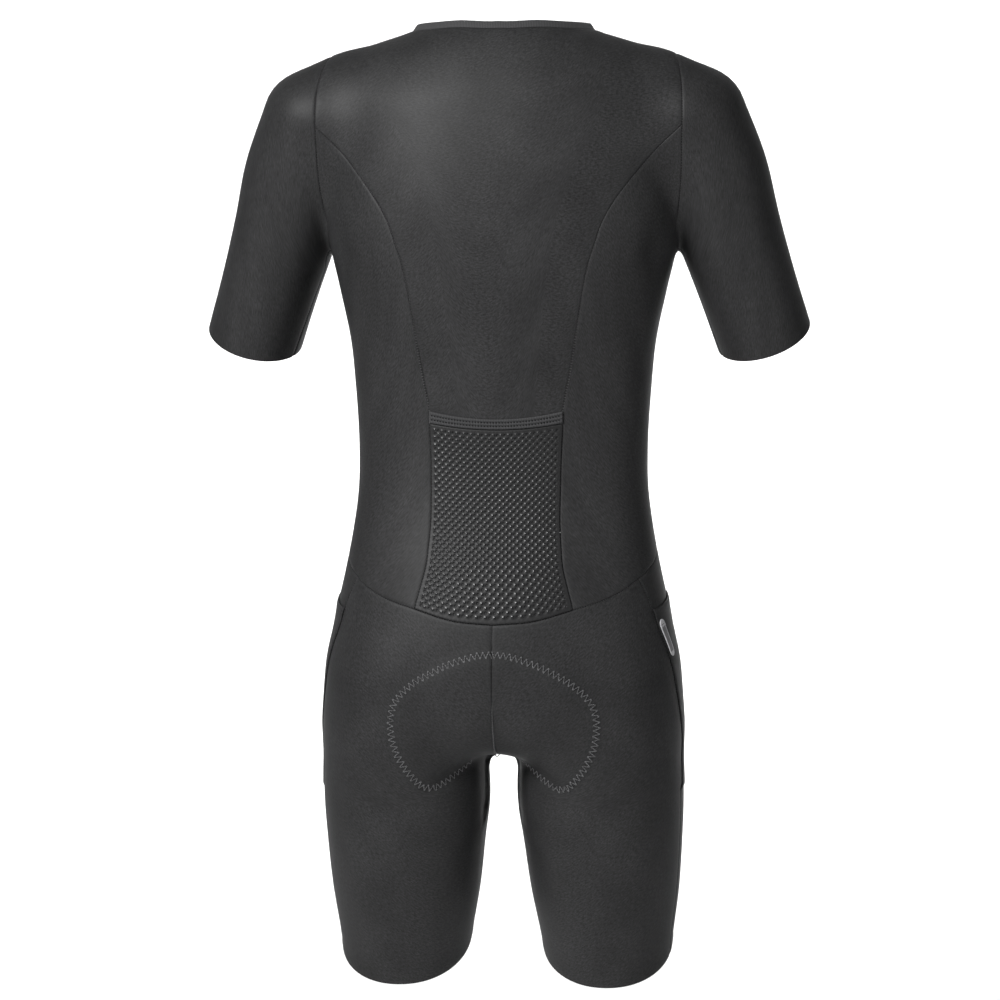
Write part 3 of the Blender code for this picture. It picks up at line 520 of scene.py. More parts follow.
def leg_hem(start, end):
    tilt = math.tan(math.radians(LEG_HEM_TILT))
    return leg_ring(LEG_HEM_Z, lambda angle: -tilt * np.sin(np.radians(angle)), start, end)


def arm_ring(centre, turn_out, tilt, start):
    """Close points round the arm from one underarm angle round the back to itself."""
    out = math.radians(turn_out)
    level = Z_AXIS * math.cos(out) + X_AXIS * math.sin(out)
    back = Y_AXIS * math.cos(math.radians(tilt)) - Z_AXIS * math.sin(math.radians(tilt))
    turn = np.radians(np.linspace(start, start + 360, 241))[:, None]
    return cast(centre, -np.cos(turn) * level + np.sin(turn) * back)


def patch(left, right, top, bottom, level=0.0):
    """Grid between four seam lines, its inside settled on the worn surface. Rows run from top to bottom."""
    v = np.linspace(0, 1, len(left))[:, None, None]
    u = np.linspace(0, 1, len(top))[None, :, None]
    grid = (1 - u) * left[:, None] + u * right[:, None] + (1 - v) * top[None] + v * bottom[None]
    grid -= (1 - v) * ((1 - u) * top[0] + u * top[-1]) + v * ((1 - u) * bottom[0] + u * bottom[-1])
    inner = (slice(1, -1), slice(1, -1))
    for _ in range(4):
        grid[inner] = settle(grid[inner], level, 4)
        for _ in range(EASE_ROUNDS):
            grid[inner] = (grid[:-2, 1:-1] + grid[2:, 1:-1] + grid[1:-1, :-2] + grid[1:-1, 2:]) / 4
    grid[inner] = settle(grid[inner], level, 5)
    return grid


def below(*grids):
    """One grid from grids that follow each other downwards."""
    return np.concatenate([grids[0]] + [grid[1:] for grid in grids[1:]])


def beside(*grids):
    """One grid from grids that follow each other across."""
    return np.concatenate([grids[0]] + [grid[:, 1:] for grid in grids[1:]], axis=1)


def level_line(line, half_x, steps):
    """A level pocket line across the back, hanging lower in its middle, from the left seam to the right."""
    x = np.linspace(half_x, -half_x, steps + 1)
    return on_back(x, line[0] - line[1] * (1 - (x / half_x) ** 2))


def seams():
    """All seam lines of the left half, as rows of points that the pieces on both sides share."""
    s = {}
    ring = armhole_ring()
    angles = np.linspace(0, 360, 241)
    yoke = int(np.argmin(np.where(angles < 180, np.abs(ring[:, 2] - BACK_SEAM_TOP_Z), 1)))
    top = int(np.argmin(np.abs(angles - ARMHOLE_SHOULDER_ANGLE)))
    s["armhole_back"] = even(ring[:yoke + 1], ARMHOLE_BACK_STEPS, ease=-0.35)
    s["armhole_yoke"] = even(ring[yoke:top + 1], ARMHOLE_YOKE_STEPS)
    s["armhole_front"] = even(ring[top:], ARMHOLE_FRONT_STEPS, ease=0.4)

    z = np.linspace(BACK_SEAM_TOP_Z, POCKET_MOUTH[0], 121)[1:]
    upper = np.concatenate((ring[yoke:yoke + 1], on_back(back_seam_x(z), z)))
    foot = waist_angle(BACK_SEAM_FOOT_X)
    z = np.linspace(POCKET_MOUTH[0], POCKET_BAND_FOOT[0], BAND_STEPS + 1)
    band = on_back(back_seam_x(z), z)
    z = np.linspace(POCKET_BAND_FOOT[0], POCKET_FOOT[0], POCKET_STEPS + 1)
    pocket = on_back(back_seam_x(z), z)
    z = np.linspace(POCKET_FOOT[0], float(waist_z(foot)), 41)
    tail = on_back(back_seam_x(z), z)
    tail[-1] = waist_ring(foot, foot, 1)[0]
    upper, tail = settle(even(upper, BACK_SEAM_STEPS)), settle(even(tail, POCKET_TAIL_STEPS))
    s["back_seam"] = below(upper, band, pocket, tail)

    panel_edge = waist_angle(SIDE_PANEL_EDGE[0][1] * MM)
    marks = (foot, panel_edge, SIDE_SEAM_ANGLE, SIDE_PANEL_FRONT_ANGLE)
    s["waist_back"] = even(waist_ring(0, foot), (2 * SHOULDER_STEPS + NECK_BACK_STEPS) // 2)
    s["waist_side_back"] = even(waist_ring(marks[0], marks[1]), SIDE_SHARE[0])
    s["waist_side"] = even(waist_ring(marks[1], marks[2]), SIDE_SHARE[1])
    s["waist_side_front"] = even(waist_ring(marks[2], marks[3]), SIDE_SHARE[2])
    ring = waist_ring(marks[3], 180, 121)
    front = float(np.interp(-ZIP_EDGE, -ring[:, 0], np.linspace(marks[3], 180, 121)))
    s["waist_front"] = even(waist_ring(marks[3], front), SIDE_SHARE[3])
    s["waist_zip"] = waist_ring(front, 180, 2)

    armpit, foot_point = s["armhole_back"][0], s["waist_side"][-1]
    steps = BACK_SEAM_STEPS + BAND_STEPS + POCKET_STEPS + POCKET_TAIL_STEPS
    z = np.linspace(armpit[2], foot_point[2], 121)
    turn = np.radians(np.linspace(93, SIDE_SEAM_ANGLE, 121))
    side = settle(columns(torso_half(z), torso_half(z) / np.tan(turn), z))
    side[0], side[-1] = armpit, foot_point
    s["side_seam"] = even(side, steps)
    s["side_seam"][1:-1] = settle(s["side_seam"][1:-1])

    s["neck_back"] = even(neck_ring(-NECK_SHOULDER_ANGLE, NECK_SHOULDER_ANGLE, 121), NECK_BACK_STEPS)[::-1]
    ring = neck_ring(NECK_SHOULDER_ANGLE, 180, 121)
    front = float(np.interp(-ZIP_EDGE, -ring[:, 0], np.linspace(NECK_SHOULDER_ANGLE, 180, 121)))
    s["neck_front"] = even(neck_ring(NECK_SHOULDER_ANGLE, front), NECK_FRONT_STEPS)
    s["neck_zip"] = neck_ring(front, 180, 2)
    a, b = s["armhole_yoke"][-1], s["neck_back"][0]
    t = np.linspace(0, 1, SHOULDER_STEPS + 1)[:, None]
    line = a + (b - a) * t
    s["shoulder"] = cast(line - Z_AXIS * 40 * MM, np.broadcast_to(Z_AXIS, line.shape))
    s["shoulder"][0], s["shoulder"][-1] = a, b

    steps = ARMHOLE_FRONT_STEPS + len(s["side_seam"]) - 1
    z = np.linspace(s["neck_front"][-1][2], s["waist_front"][-1][2], 121)
    line = on_front(np.full_like(z, ZIP_EDGE), z)
    line[0], line[-1] = s["neck_front"][-1], s["waist_front"][-1]
    s["zip_edge"] = settle(even(line, steps))

    middle = np.array((0, 0, SEAT_CENTRE_Z))
    crotch = cast(middle, -Z_AXIS[None])[0]
    for name, top in (("centre_back", s["waist_back"][0]), ("centre_front", s["waist_zip"][-1])):
        start = math.atan2(top[1], middle[2] - top[2])
        turn = np.linspace(start, 0, 121)
        aim = columns(0, np.sin(turn), -np.cos(turn))
        line = cast(middle, aim)
        line[0], line[-1] = top, crotch
        s[name] = even(line, HIP_STEPS, ease=0.45 if name == "centre_front" else 0.2)
    z = np.linspace(INSEAM_Z, float(leg_hem(0, 0)[0, 2]), 61)
    line = cast(columns(leg_x(z), leg_y(z), z), columns(-1 + 0 * z, 0, 0))
    line = np.concatenate((crotch[None], settle(INSEAM_TOP[None]), line))
    line[-1] = leg_hem(0, 0)[0]
    s["inseam"] = even(line, LEG_STEPS)

    waist = np.concatenate((s["waist_front"], s["waist_zip"][1:]))
    s["waist_front_outer"], s["waist_front_inner"] = waist[:FRONT_SPLIT + 1], waist[FRONT_SPLIT:]

    marks = (0, THIGH_BACK_ANGLE, SIDE_PANEL_BACK_ANGLE, SIDE_PANEL_FORE_ANGLE, THIGH_FRONT_ANGLE, 360)
    counts = (len(s["waist_back"]) - 1, SIDE_SHARE[0], SIDE_SHARE[1] + SIDE_SHARE[2], FRONT_SPLIT,
              len(waist) - 1 - FRONT_SPLIT)
    for k, part in enumerate(("back", "back_outer", "side", "front_outer", "front")):
        s["fold_" + part] = even(seat_fold(marks[k], marks[k + 1]), counts[k])
        s["hem_" + part] = even(leg_hem(marks[k], marks[k + 1]), counts[k])
    s["fold_back"][0] = crotch
    s["fold_front"][-1] = crotch
    s["fold_back"][1:-1] = settle(s["fold_back"][1:-1])
    s["fold_front"][1:-1] = settle(s["fold_front"][1:-1])

    s["thigh_back"] = drop(s["waist_back"][-1], s["fold_back"][-1], s["hem_back"][-1])
    s["panel_back"] = panel_edge_line(s["waist_side"][0], s["fold_side"][0], s["hem_side"][0])
    s["panel_front"] = drop(s["waist_front"][0], s["fold_front_outer"][0], s["hem_front_outer"][0])
    s["thigh_front"] = drop(s["waist_front_inner"][0], s["fold_front"][0], s["hem_front"][0])
    s["underarm"], s["sleeve_rings"] = sleeve_lines(s)
    return s


def drop(top, fold, hem):
    """A line down the thigh through three points, in the rows of the hip and of the leg."""
    hip = settle(top + (fold - top) * np.linspace(0, 1, HIP_STEPS + 1)[:, None])
    leg = settle(fold + (hem - fold) * np.linspace(0, 1, LEG_STEPS + 1)[:, None])
    hip[0], hip[-1], leg[0], leg[-1] = top, fold, fold, hem
    return below(hip, leg)


def panel_edge_line(top, fold, hem):
    """The side panel's back edge, with one row at the thigh pocket's mouth."""
    z = np.concatenate((np.linspace(top[2], THIGH_POCKET_MOUTH_Z, MOUTH_STEPS + 1),
                        np.linspace(THIGH_POCKET_MOUTH_Z, fold[2], HIP_STEPS - MOUTH_STEPS + 1)[1:]))
    x = side_panel_x(z) + (fold[0] - side_panel_x(fold[2])) * np.linspace(0, 1, len(z)) ** 2
    deep = torso_back(z) * (1 - np.minimum(x / torso_half(z), 0.995) ** TORSO_POWER) ** (1 / TORSO_POWER)
    hip = settle(columns(x, deep, z))
    line = drop(top, fold, hem)
    line[1:HIP_STEPS] = hip[1:-1]
    return line


def sleeve_lines(s):
    """The sleeve's rings and its underarm seam between them."""
    armhole = np.concatenate((s["armhole_back"], s["armhole_yoke"][1:], s["armhole_front"][1:]))
    run = runs(armhole)
    share = run / run[-1]
    out = math.degrees(math.atan2(ARM_OUT[0], ARM_OUT[2]))
    bicep = SHOULDER + ARM_LINE * BICEP_ALONG
    rings = [armhole]
    for centre, turn_out, tilt, start in (
        (CAP_CENTRE, CAP_TURN, 6, 4),
        (bicep, out, 12, 8),
        (CUFF_CENTRE, out, CUFF_TILT, UNDERARM_SEAM_ANGLE),
    ):
        close = arm_ring(centre, turn_out, tilt, start)
        length = runs(close)
        rings.append(follow(close, share * length[-1], length))
    line = []
    for k, steps in enumerate(SLEEVE_STEPS):
        a, b = rings[k][0], rings[k + 1][0]
        part = settle(a + (b - a) * np.linspace(0, 1, steps + 1)[:, None])
        part[0], part[-1] = a, b
        line.append(part)
    return line, rings


# Shapes that the scene lays on the worn surface

def tuck(grid, facing, amount):
    """Draws a grid's four edges in, so that pieces stay apart at their seams."""
    move = np.zeros_like(grid)
    for edge, inner in (((0, slice(None)), (1, slice(None))), ((-1, slice(None)), (-2, slice(None))),
                        ((slice(None), 0), (slice(None), 1)), ((slice(None), -1), (slice(None), -2))):
        across = unit(np.cross(facing[edge], unit(np.gradient(grid[edge], axis=0))))
        sign = np.sign((across * (grid[inner] - grid[edge])).sum())
        move[edge] += across * sign * amount
    return grid + move


def resample(grid, axis, at):
    """A grid read again at other places along its rows or columns."""
    low = np.minimum(at.astype(int), grid.shape[axis] - 2)
    t = np.expand_dims(at - low, (1, 2) if axis == 0 else (0, 2))
    return np.take(grid, low, axis=axis) * (1 - t) + np.take(grid, low + 1, axis=axis) * t


def finer_edges(grid, shares=(0.12, 0.3, 0.6)):
    """The grid with extra rows and columns close to its edges, where the cloth turns into its seams."""
    for axis in (0, 1):
        last = grid.shape[axis] - 1
        at = np.concatenate(([0], shares, np.arange(1, last), last - np.array(shares)[::-1], [last]))
        grid = resample(grid, axis, at)
    return grid


def edge_distance(grid, edges):
    """Distance of each point from the nearest of a grid's named edges, along the grid's lines."""
    down, across = runs(grid, 0), runs(grid, 1)
    far = np.full(grid.shape[:2], 1.0)
    found = {"top": down, "foot": down[-1:] - down, "left": across, "right": across[:, -1:] - across}
    for edge in edges:
        far = np.minimum(far, found[edge])
    return far


def bump_at(distance, middle, width):
    return np.exp(-((distance - middle) / width) ** 2)


def crease_depth(points):
    """How far the soft creases lower or raise the cloth, from the table of creases."""
    total = np.zeros(points.shape[:-1])
    for side, face, start, bend, end, width, depth in CREASES:
        t = np.linspace(0, 1, 41)[:, None]
        a, b, c = (np.array(p) * MM for p in (start, bend, end))
        line = a * (1 - t) ** 2 + 2 * b * t * (1 - t) + c * t ** 2
        flat = np.stack((points[..., 0] * side, points[..., 2]), axis=-1)
        away = np.linalg.norm(flat[..., None, :] - line, axis=-1)
        nearest = away.argmin(axis=-1)
        fade = np.sin(np.pi * np.clip(t[nearest, 0], 0.02, 0.98)) ** 0.6
        uneven = 1 + 0.25 * np.sin(9 * t[nearest, 0] + 2 * side)
        near = np.exp(-(away.min(axis=-1) / (width * MM)) ** 2) * (points[..., 1] * face > -5 * MM)
        total += near * fade * uneven * depth * MM
    return total


def mesh_piece(name, points, faces, finish, body=GARMENT, uv=None):
    mesh = bpy.data.meshes.new(name)
    mesh.from_pydata([tuple(p) for p in points], [], faces)
    mesh.update()
    if uv is not None:
        layer = mesh.uv_layers.new(name="Cloth")
        loops = np.zeros(len(mesh.loops), dtype=np.int32)
        mesh.loops.foreach_get("vertex_index", loops)
        layer.data.foreach_set("uv", np.asarray(uv)[loops].astype(np.float32).ravel())
    for polygon in mesh.polygons:
        polygon.use_smooth = True
    obj = bpy.data.objects.new(name, mesh)
    bpy.context.scene.collection.objects.link(obj)
    mesh.materials.append(finish)
    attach(obj, body)
    return obj


def sheet_shell(name, outer, inner, finish, uv_grid=None):
    """One closed shell of quads between an outer and an inner grid of the same shape."""
    rows, cols = outer.shape[:2]
    index = np.arange(rows * cols).reshape(rows, cols)
    a, b, c, d = index[:-1, :-1], index[:-1, 1:], index[1:, 1:], index[1:, :-1]
    quads = np.stack((a, b, c, d), axis=-1).reshape(-1, 4)
    rim = np.concatenate((index[0], index[1:, -1], index[-1, -2::-1], index[-2:0:-1, 0]))
    after = np.roll(rim, -1)
    last = rows * cols
    side = np.stack((rim, rim + last, after + last, after), axis=-1)
    middle = outer[rows // 2, cols // 2]
    normal = np.cross(outer[rows // 2, cols // 2 + 1] - middle, outer[rows // 2 + 1, cols // 2] - middle)
    if np.dot(normal, slope(middle)) > 0:
        faces = np.concatenate((quads, quads[:, ::-1] + last, side))
    else:
        faces = np.concatenate((quads[:, ::-1], quads + last, side[:, ::-1]))
    if uv_grid is None:
        uv_grid = np.stack((runs(outer, 1) - runs(outer, 1)[:, -1:] / 2, -runs(outer, 0)), axis=-1)
    uv = np.concatenate((uv_grid.reshape(-1, 2), uv_grid.reshape(-1, 2)))
    points = np.concatenate((outer.reshape(-1, 3), inner.reshape(-1, 3)))
    return mesh_piece(name, points, faces.tolist(), finish, uv=uv)


def threads(name, starts, ends, ups, radius, finish, flat=0.7, bow=0.0):
    """Short stitches as closed, round-ended lengths of thread, all in one mesh."""
    sides, rings = 6, ((0.0, 0.35), (0.12, 0.9), (0.5, 1.0), (0.88, 0.9), (1.0, 0.35))
    along = ends - starts
    across = unit(np.cross(along, ups))
    turn = np.linspace(0, 2 * math.pi, sides, endpoint=False)
    points, faces = [], []
    count = len(starts)
    for t, share in rings:
        centre = starts + along * t + ups * (bow * math.sin(math.pi * t))
        for angle in turn:
            ring = across * math.cos(angle) + ups * math.sin(angle) * flat
            points.append(centre + ring * radius * share)
    points = np.stack(points, axis=1).reshape(-1, 3)
    per = sides * len(rings)
    for r in range(len(rings) - 1):
        for k in range(sides):
            a, b = r * sides + k, r * sides + (k + 1) % sides
            faces.append((a, b, b + sides, a + sides))
    faces = np.array(faces)
    base = (np.arange(count) * per)[:, None, None]
    quads = (faces[None] + base).reshape(-1, 4).tolist()
    caps = []
    for start in range(0, count * per, per):
        caps.append([start + k for k in range(sides)][::-1])
        caps.append([start + per - sides + k for k in range(sides)])
    return mesh_piece(name, points, quads + caps, finish)


# The garment's lines and grids, made once

MADE = {}


def lines():
    if "lines" not in MADE:
        MADE["lines"] = seams()
    return MADE["lines"]


def back_grid(s):
    left = below(s["armhole_yoke"][::-1], s["back_seam"][:BACK_SEAM_STEPS + 1])
    across = 2 * SHOULDER_STEPS + NECK_BACK_STEPS
    top = np.concatenate((s["shoulder"], s["neck_back"][1:], mirrored(s["shoulder"])[::-1][1:]))
    marks = [level_line(line, float(back_seam_x(line[0])), across)
             for line in (POCKET_MOUTH, POCKET_BAND_FOOT, POCKET_FOOT)]
    marks.append(np.concatenate((s["waist_back"][::-1], mirrored(s["waist_back"])[1:])))
    grids = [patch(left, mirrored(left), top, marks[0])]
    start = BACK_SEAM_STEPS
    for k, steps in enumerate((BAND_STEPS, POCKET_STEPS, POCKET_TAIL_STEPS)):
        edge = s["back_seam"][start:start + steps + 1]
        marks[k][0], marks[k][-1] = edge[0], mirrored(edge[0])
        grids.append(patch(edge, mirrored(edge), marks[k], marks[k + 1]))
        start += steps
    return below(*grids)


def side_grids(s):
    waist = np.concatenate((s["waist_side_back"], s["waist_side"][1:]))
    back = patch(s["back_seam"], s["side_seam"], s["armhole_back"][::-1], waist)
    outer = np.concatenate((s["armhole_front"], s["side_seam"][1:]))
    top = np.concatenate((s["shoulder"], s["neck_front"][1:]))
    waist = np.concatenate((s["waist_side_front"], s["waist_front"][1:]))
    return back, patch(outer, s["zip_edge"], top, waist)


def sleeve_grid(s):
    rings = s["sleeve_rings"]
    return below(*[patch(line, line, rings[k], rings[k + 1]) for k, line in enumerate(s["underarm"])])


def shorts_grids(s):
    hip, leg = slice(0, HIP_STEPS + 1), slice(HIP_STEPS, None)
    side_waist = np.concatenate((s["waist_side"], s["waist_side_front"][1:]))
    inner_back = below(s["centre_back"], s["inseam"])
    inner_front = below(s["centre_front"], s["inseam"])

    def cell(left, right, part, waist):
        upper = patch(left[hip], right[hip], waist, s["fold_" + part])
        return below(upper, patch(left[leg], right[leg], s["fold_" + part], s["hem_" + part]))

    back = beside(cell(inner_back, s["thigh_back"], "back", s["waist_back"]),
                  cell(s["thigh_back"], s["panel_back"], "back_outer", s["waist_side_back"]))
    side = cell(s["panel_back"], s["panel_front"], "side", side_waist)
    front = beside(cell(s["panel_front"], s["thigh_front"], "front_outer", s["waist_front_outer"]),
                   cell(s["thigh_front"], inner_front, "front", s["waist_front_inner"]))
    return back, side, front


def grids():
    if "grids" not in MADE:
        s = lines()
        back_side, front = side_grids(s)
        shorts_back, side_panel, shorts_front = shorts_grids(s)
        MADE["grids"] = {"back_centre": back_grid(s), "back_side": back_side, "front": front,
                         "sleeve": sleeve_grid(s), "shorts_back": shorts_back, "side_panel": side_panel,
                         "shorts_front": shorts_front}
    return MADE["grids"]


# Cloth pieces


def declare(node):
    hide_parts(node)


def panel(node, grid, seamed, mirror=False, lift=0.0, wall=None, relief=None):
    """One cut piece of the knit, its seamed edges turned down into their seams."""
    sizes = bpy.context.scene.skinsuit
    wall = wall or sizes.cloth_wall
    grid = finer_edges(grid)
    facing = unit(slope(grid))
    turn = sizes.seam_turn * bump_at(edge_distance(grid, seamed), 0, sizes.seam_turn_width)
    raised = crease_depth(grid) + seat_relief(grid)
    if relief is not None:
        raised = raised + relief(grid)
    edge = tuck(grid, facing, sizes.seam_gap / 2)
    outer = edge + facing * (lift + wall * (lift > 0) - turn + raised)[..., None]
    inner = outer - facing * wall
    if mirror:
        outer, inner = mirrored(outer), mirrored(inner)
    obj = sheet_shell(node + "_cloth", outer, inner, knit())
    declare(node)


def seat_relief(points):
    """The pad's low step through the cloth and the soft hollow along the seat's middle."""
    x, y, z = np.abs(points[..., 0]) / MM, points[..., 1] / MM, points[..., 2] / MM
    edge = np.array(PAD_STITCHING, dtype=float)
    line = np.concatenate([edge[k] + (edge[k + 1] - edge[k]) * np.linspace(0, 1, 12, endpoint=False)[:, None]
                           for k in range(len(edge) - 1)])
    flat = np.stack((x, z), axis=-1)
    away = np.linalg.norm(flat[..., None, :] - line, axis=-1)
    distance = away.min(axis=-1)
    nearest = line[away.argmin(axis=-1)]
    middle = np.array((50.0, -662.0))
    inside = np.linalg.norm(flat - middle, axis=-1) < np.linalg.norm(nearest - middle, axis=-1)
    step = np.where(inside | ((x < 40) & (z > -706) & (z < -606)), 1, -1) * np.minimum(distance / 7, 1)
    on_seat = (y > 5) & (z < -560) & (z > -775)
    low = np.clip((-z - 625) / 60, 0, 1)
    hollow = np.exp(-(x / 17) ** 2) * low * low * (3 - 2 * low)
    return np.where(on_seat, (0.5 + 0.5 * step) * PAD_SHOWS - hollow * SEAT_HOLLOW, 0.0)


def stitch_row(line, pitch, share, lift=0.0, along=True, half=0.0, start=0.0):
    """Starts, ends and ups of stitches along a line of surface points, or across it."""
    run = runs(line)
    count = int((run[-1] - start) / pitch)
    at = start + (np.arange(count) + 0.5) * pitch

    def point(where):
        return follow(line, where, run)

    middle = point(at)
    ups = unit(slope(middle))
    if along:
        begin, end = point(at - pitch * share / 2), point(at + pitch * share / 2)
    else:
        across = unit(np.cross(point(at + pitch / 2) - point(at - pitch / 2), ups))
        begin, end = middle - across * half, middle + across * half
    return begin + ups * lift, end + ups * lift, ups


def both_sides(line):
    return [line, mirrored(line)]


# Finishes

def linear(hex_colour):
    """Linear colour from an sRGB hex value."""
    values = [int(hex_colour[k:k + 2], 16) / 255 for k in (1, 3, 5)]
    return [v / 12.92 if v <= 0.04045 else ((v + 0.055) / 1.055) ** 2.4 for v in values] + [1.0]


def add(tree, kind, sockets=None, **settings):
    """Adds a node with its settings, values and links."""
    made = tree.nodes.new(kind)
    for key, value in settings.items():
        setattr(made, key, value)
    for key, value in (sockets or {}).items():
        if isinstance(value, bpy.types.NodeSocket):
            tree.links.new(value, made.inputs[key])
        else:
            made.inputs[key].default_value = value
    return made


def finish(name, roughness, metallic=0.0, ior=1.5, sheen=0.0, sheen_roughness=0.4, specular=0.5):
    """A new material with its even values set on the shader itself. Returns it with its tree and shader."""
    material = bpy.data.materials.new(name)
    material.use_nodes = True
    tree = material.node_tree
    shader = tree.nodes["Principled BSDF"]
    values = {"Roughness": roughness, "Metallic": metallic, "IOR": ior, "Sheen Weight": sheen,
              "Sheen Roughness": sheen_roughness, "Specular IOR Level": specular}
    for key, value in values.items():
        shader.inputs[key].default_value = value
    return material, tree, shader


def cached(build):
    """The finish is built on its first use and shared after that."""
    def get():
        if build.__name__ not in MADE:
            MADE[build.__name__] = build()
        return MADE[build.__name__]
    return get


def shades(tree, factor, dark, light, low=0.3, high=0.7):
    """Runs a pattern's value between two colours."""
    ramp = add(tree, "ShaderNodeValToRGB", {"Fac": factor})
    ramp.color_ramp.elements[0].position = low
    ramp.color_ramp.elements[0].color = linear(dark)
    ramp.color_ramp.elements[1].position = high
    ramp.color_ramp.elements[1].color = linear(light)
    return ramp.outputs["Color"]


def range_of(tree, value, low, high):
    return add(tree, "ShaderNodeMapRange", {"Value": value, "To Min": low, "To Max": high}).outputs["Result"]


def raise_by(tree, shader, height, distance, strength=1.0):
    bump = add(tree, "ShaderNodeBump", {"Height": height, "Distance": distance, "Strength": strength})
    tree.links.new(bump.outputs["Normal"], shader.inputs["Normal"])


def cloth_uv(tree, turn=0.0):
    """The cloth's own lines in metres, turned by an angle."""
    uv = add(tree, "ShaderNodeUVMap", uv_map="Cloth").outputs["UV"]
    return add(tree, "ShaderNodeMapping", {"Vector": uv, "Rotation": (0, 0, turn)}).outputs["Vector"]


def bands(tree, vector, pitch, distortion):
    """Even ribs across the first axis, at a pitch in metres."""
    sockets = {"Vector": vector, "Scale": 0.314 / pitch, "Distortion": distortion, "Detail": 1.0}
    return add(tree, "ShaderNodeTexWave", sockets, wave_type="BANDS", bands_direction="X").outputs["Fac"]


def noise(tree, vector, size, detail=3.0):
    """Clouded noise with features of a size in metres."""
    sockets = {"Vector": vector, "Scale": 1 / size, "Detail": detail, "Roughness": 0.55}
    return add(tree, "ShaderNodeTexNoise", sockets).outputs["Fac"]


def clouded(name, roughness, size, dark, light, rough, on_cloth=False, detail=3.0, span=(0.3, 0.7), bump=None,
            **values):
    """A finish whose colour, roughness and fine relief all follow one clouded pattern."""
    material, tree, shader = finish(name, roughness, **values)
    place = cloth_uv(tree) if on_cloth else add(tree, "ShaderNodeTexCoord").outputs["Object"]
    pattern = noise(tree, place, size, detail)
    tree.links.new(shades(tree, pattern, dark, light, *span), shader.inputs["Base Color"])
    tree.links.new(range_of(tree, pattern, *rough), shader.inputs["Roughness"])
    if bump:
        raise_by(tree, shader, pattern, *bump)
    return material


@cached
def knit():
    """Polyamide and elastane warp knit, heat-set and dyed charcoal: an even satin face with a fine diagonal
    grain. The grain is a clouded noise stretched along the diagonal, 1.3 mm across."""
    colours = bpy.context.scene.skinsuit
    rough = colours.knit_roughness
    material, tree, shader = finish("warp_knit_polyamide", rough, sheen=colours.knit_sheen,
                                    sheen_roughness=0.45, specular=0.16)
    turned = cloth_uv(tree, math.radians(58))
    diagonal = add(tree, "ShaderNodeMapping", {"Vector": turned, "Scale": (1, 0.3, 1)}).outputs["Vector"]
    twill = noise(tree, diagonal, 1.3 * MM, detail=1.0)
    grit = noise(tree, cloth_uv(tree), 1.6 * MM)
    wear = noise(tree, cloth_uv(tree), 60 * MM, detail=2.0)
    grain = add(tree, "ShaderNodeMath", {0: twill, 1: grit}, operation="MULTIPLY").outputs[0]
    base = shades(tree, grain, colours.knit_dark, colours.knit_light, 0.1, 0.42)
    cloud = shades(tree, wear, "#D8D8D8", "#FFFFFF", 0.3, 0.7)
    mixed = add(tree, "ShaderNodeMix", {"Factor": 1.0, 6: base, 7: cloud}, data_type="RGBA",
                blend_type="MULTIPLY")
    tree.links.new(mixed.outputs[2], shader.inputs["Base Color"])
    tree.links.new(range_of(tree, grit, rough - 0.06, rough + 0.06), shader.inputs["Roughness"])
    raise_by(tree, shader, grain, 0.12 * MM, 0.6)
    return material


@cached
def eyelet_mesh():
    """Raschel-knitted polyamide net of smooth filament, glossier on its knots and dark in its open eyelets.
    The knots are coloured lighter as a painted highlight and the low ground between them darker as painted
    shade.
    """
    colours = bpy.context.scene.skinsuit
    material, tree, shader = finish("raschel_net_polyamide_painted_shading", 0.42, specular=0.34)
    vector = cloth_uv(tree)
    filament = noise(tree, vector, 1.1 * MM)
    knots = add(tree, "ShaderNodeAttribute", attribute_name="knot").outputs["Fac"]
    # Painted highlight and shade: the raised knots take the lighter colour, the low ground the darker one.
    base = shades(tree, knots, colours.mesh_ground_painted_shade, colours.mesh_knot_painted_highlight, 0.35, 1.0)
    tree.links.new(base, shader.inputs["Base Color"])
    tree.links.new(range_of(tree, knots, 0.7, 0.22), shader.inputs["Roughness"])
    raise_by(tree, shader, filament, 0.1 * MM, 0.5)
    return material


@cached
def ribbed_elastic():
    """Woven polyester and elastane tape, folded over the raw edge: matt, with fine ribs across its length."""
    material, tree, shader = finish("ribbed_elastic_polyester", 0.78, sheen=0.15, specular=0.3)
    vector = cloth_uv(tree)
    ribs = bands(tree, vector, 1.6 * MM, distortion=0.4)
    lint = noise(tree, vector, 0.9 * MM)
    mix = add(tree, "ShaderNodeMath", {0: ribs, 1: lint}, operation="MULTIPLY").outputs[0]
    tree.links.new(shades(tree, mix, "#222223", "#373738", 0.05, 0.6), shader.inputs["Base Color"])
    tree.links.new(range_of(tree, lint, 0.7, 0.86), shader.inputs["Roughness"])
    raise_by(tree, shader, mix, 0.25 * MM, 0.8)
    return material


@cached
def zip_tape_weave():
    """Plain-woven polyester zip tape: flat and matt, with a faint herringbone."""
    material, tree, shader = finish("woven_polyester_tape", 0.8, specular=0.3)
    weave = bands(tree, cloth_uv(tree, math.radians(45)), 1.2 * MM, distortion=0.6)
    tree.links.new(shades(tree, weave, "#131314", "#242426", 0.1, 0.9), shader.inputs["Base Color"])
    tree.links.new(range_of(tree, weave, 0.74, 0.86), shader.inputs["Roughness"])
    raise_by(tree, shader, weave, 0.12 * MM, 0.6)
    return material


@cached
def thread():
    """Twisted textured polyester thread: a soft lustre, a little lighter than the cloth it sits in."""
    return clouded("textured_polyester_thread", 0.55, 0.7 * MM, "#1D1D1E",
                   bpy.context.scene.skinsuit.thread_light, (0.45, 0.65), span=(0.2, 0.8),
                   bump=(0.1 * MM, 0.5), sheen=0.2, specular=0.45)


@cached
def sunk_thread_painted_shade():
    """Fine core-spun thread pulled down into the elastic. Its near-black colour is painted shade, where
    little light reaches the stitches.
    """
    return clouded("core_spun_thread_painted_shade", 0.8, 0.7 * MM, "#060606", "#101011", (0.75, 0.9), specular=0.2)


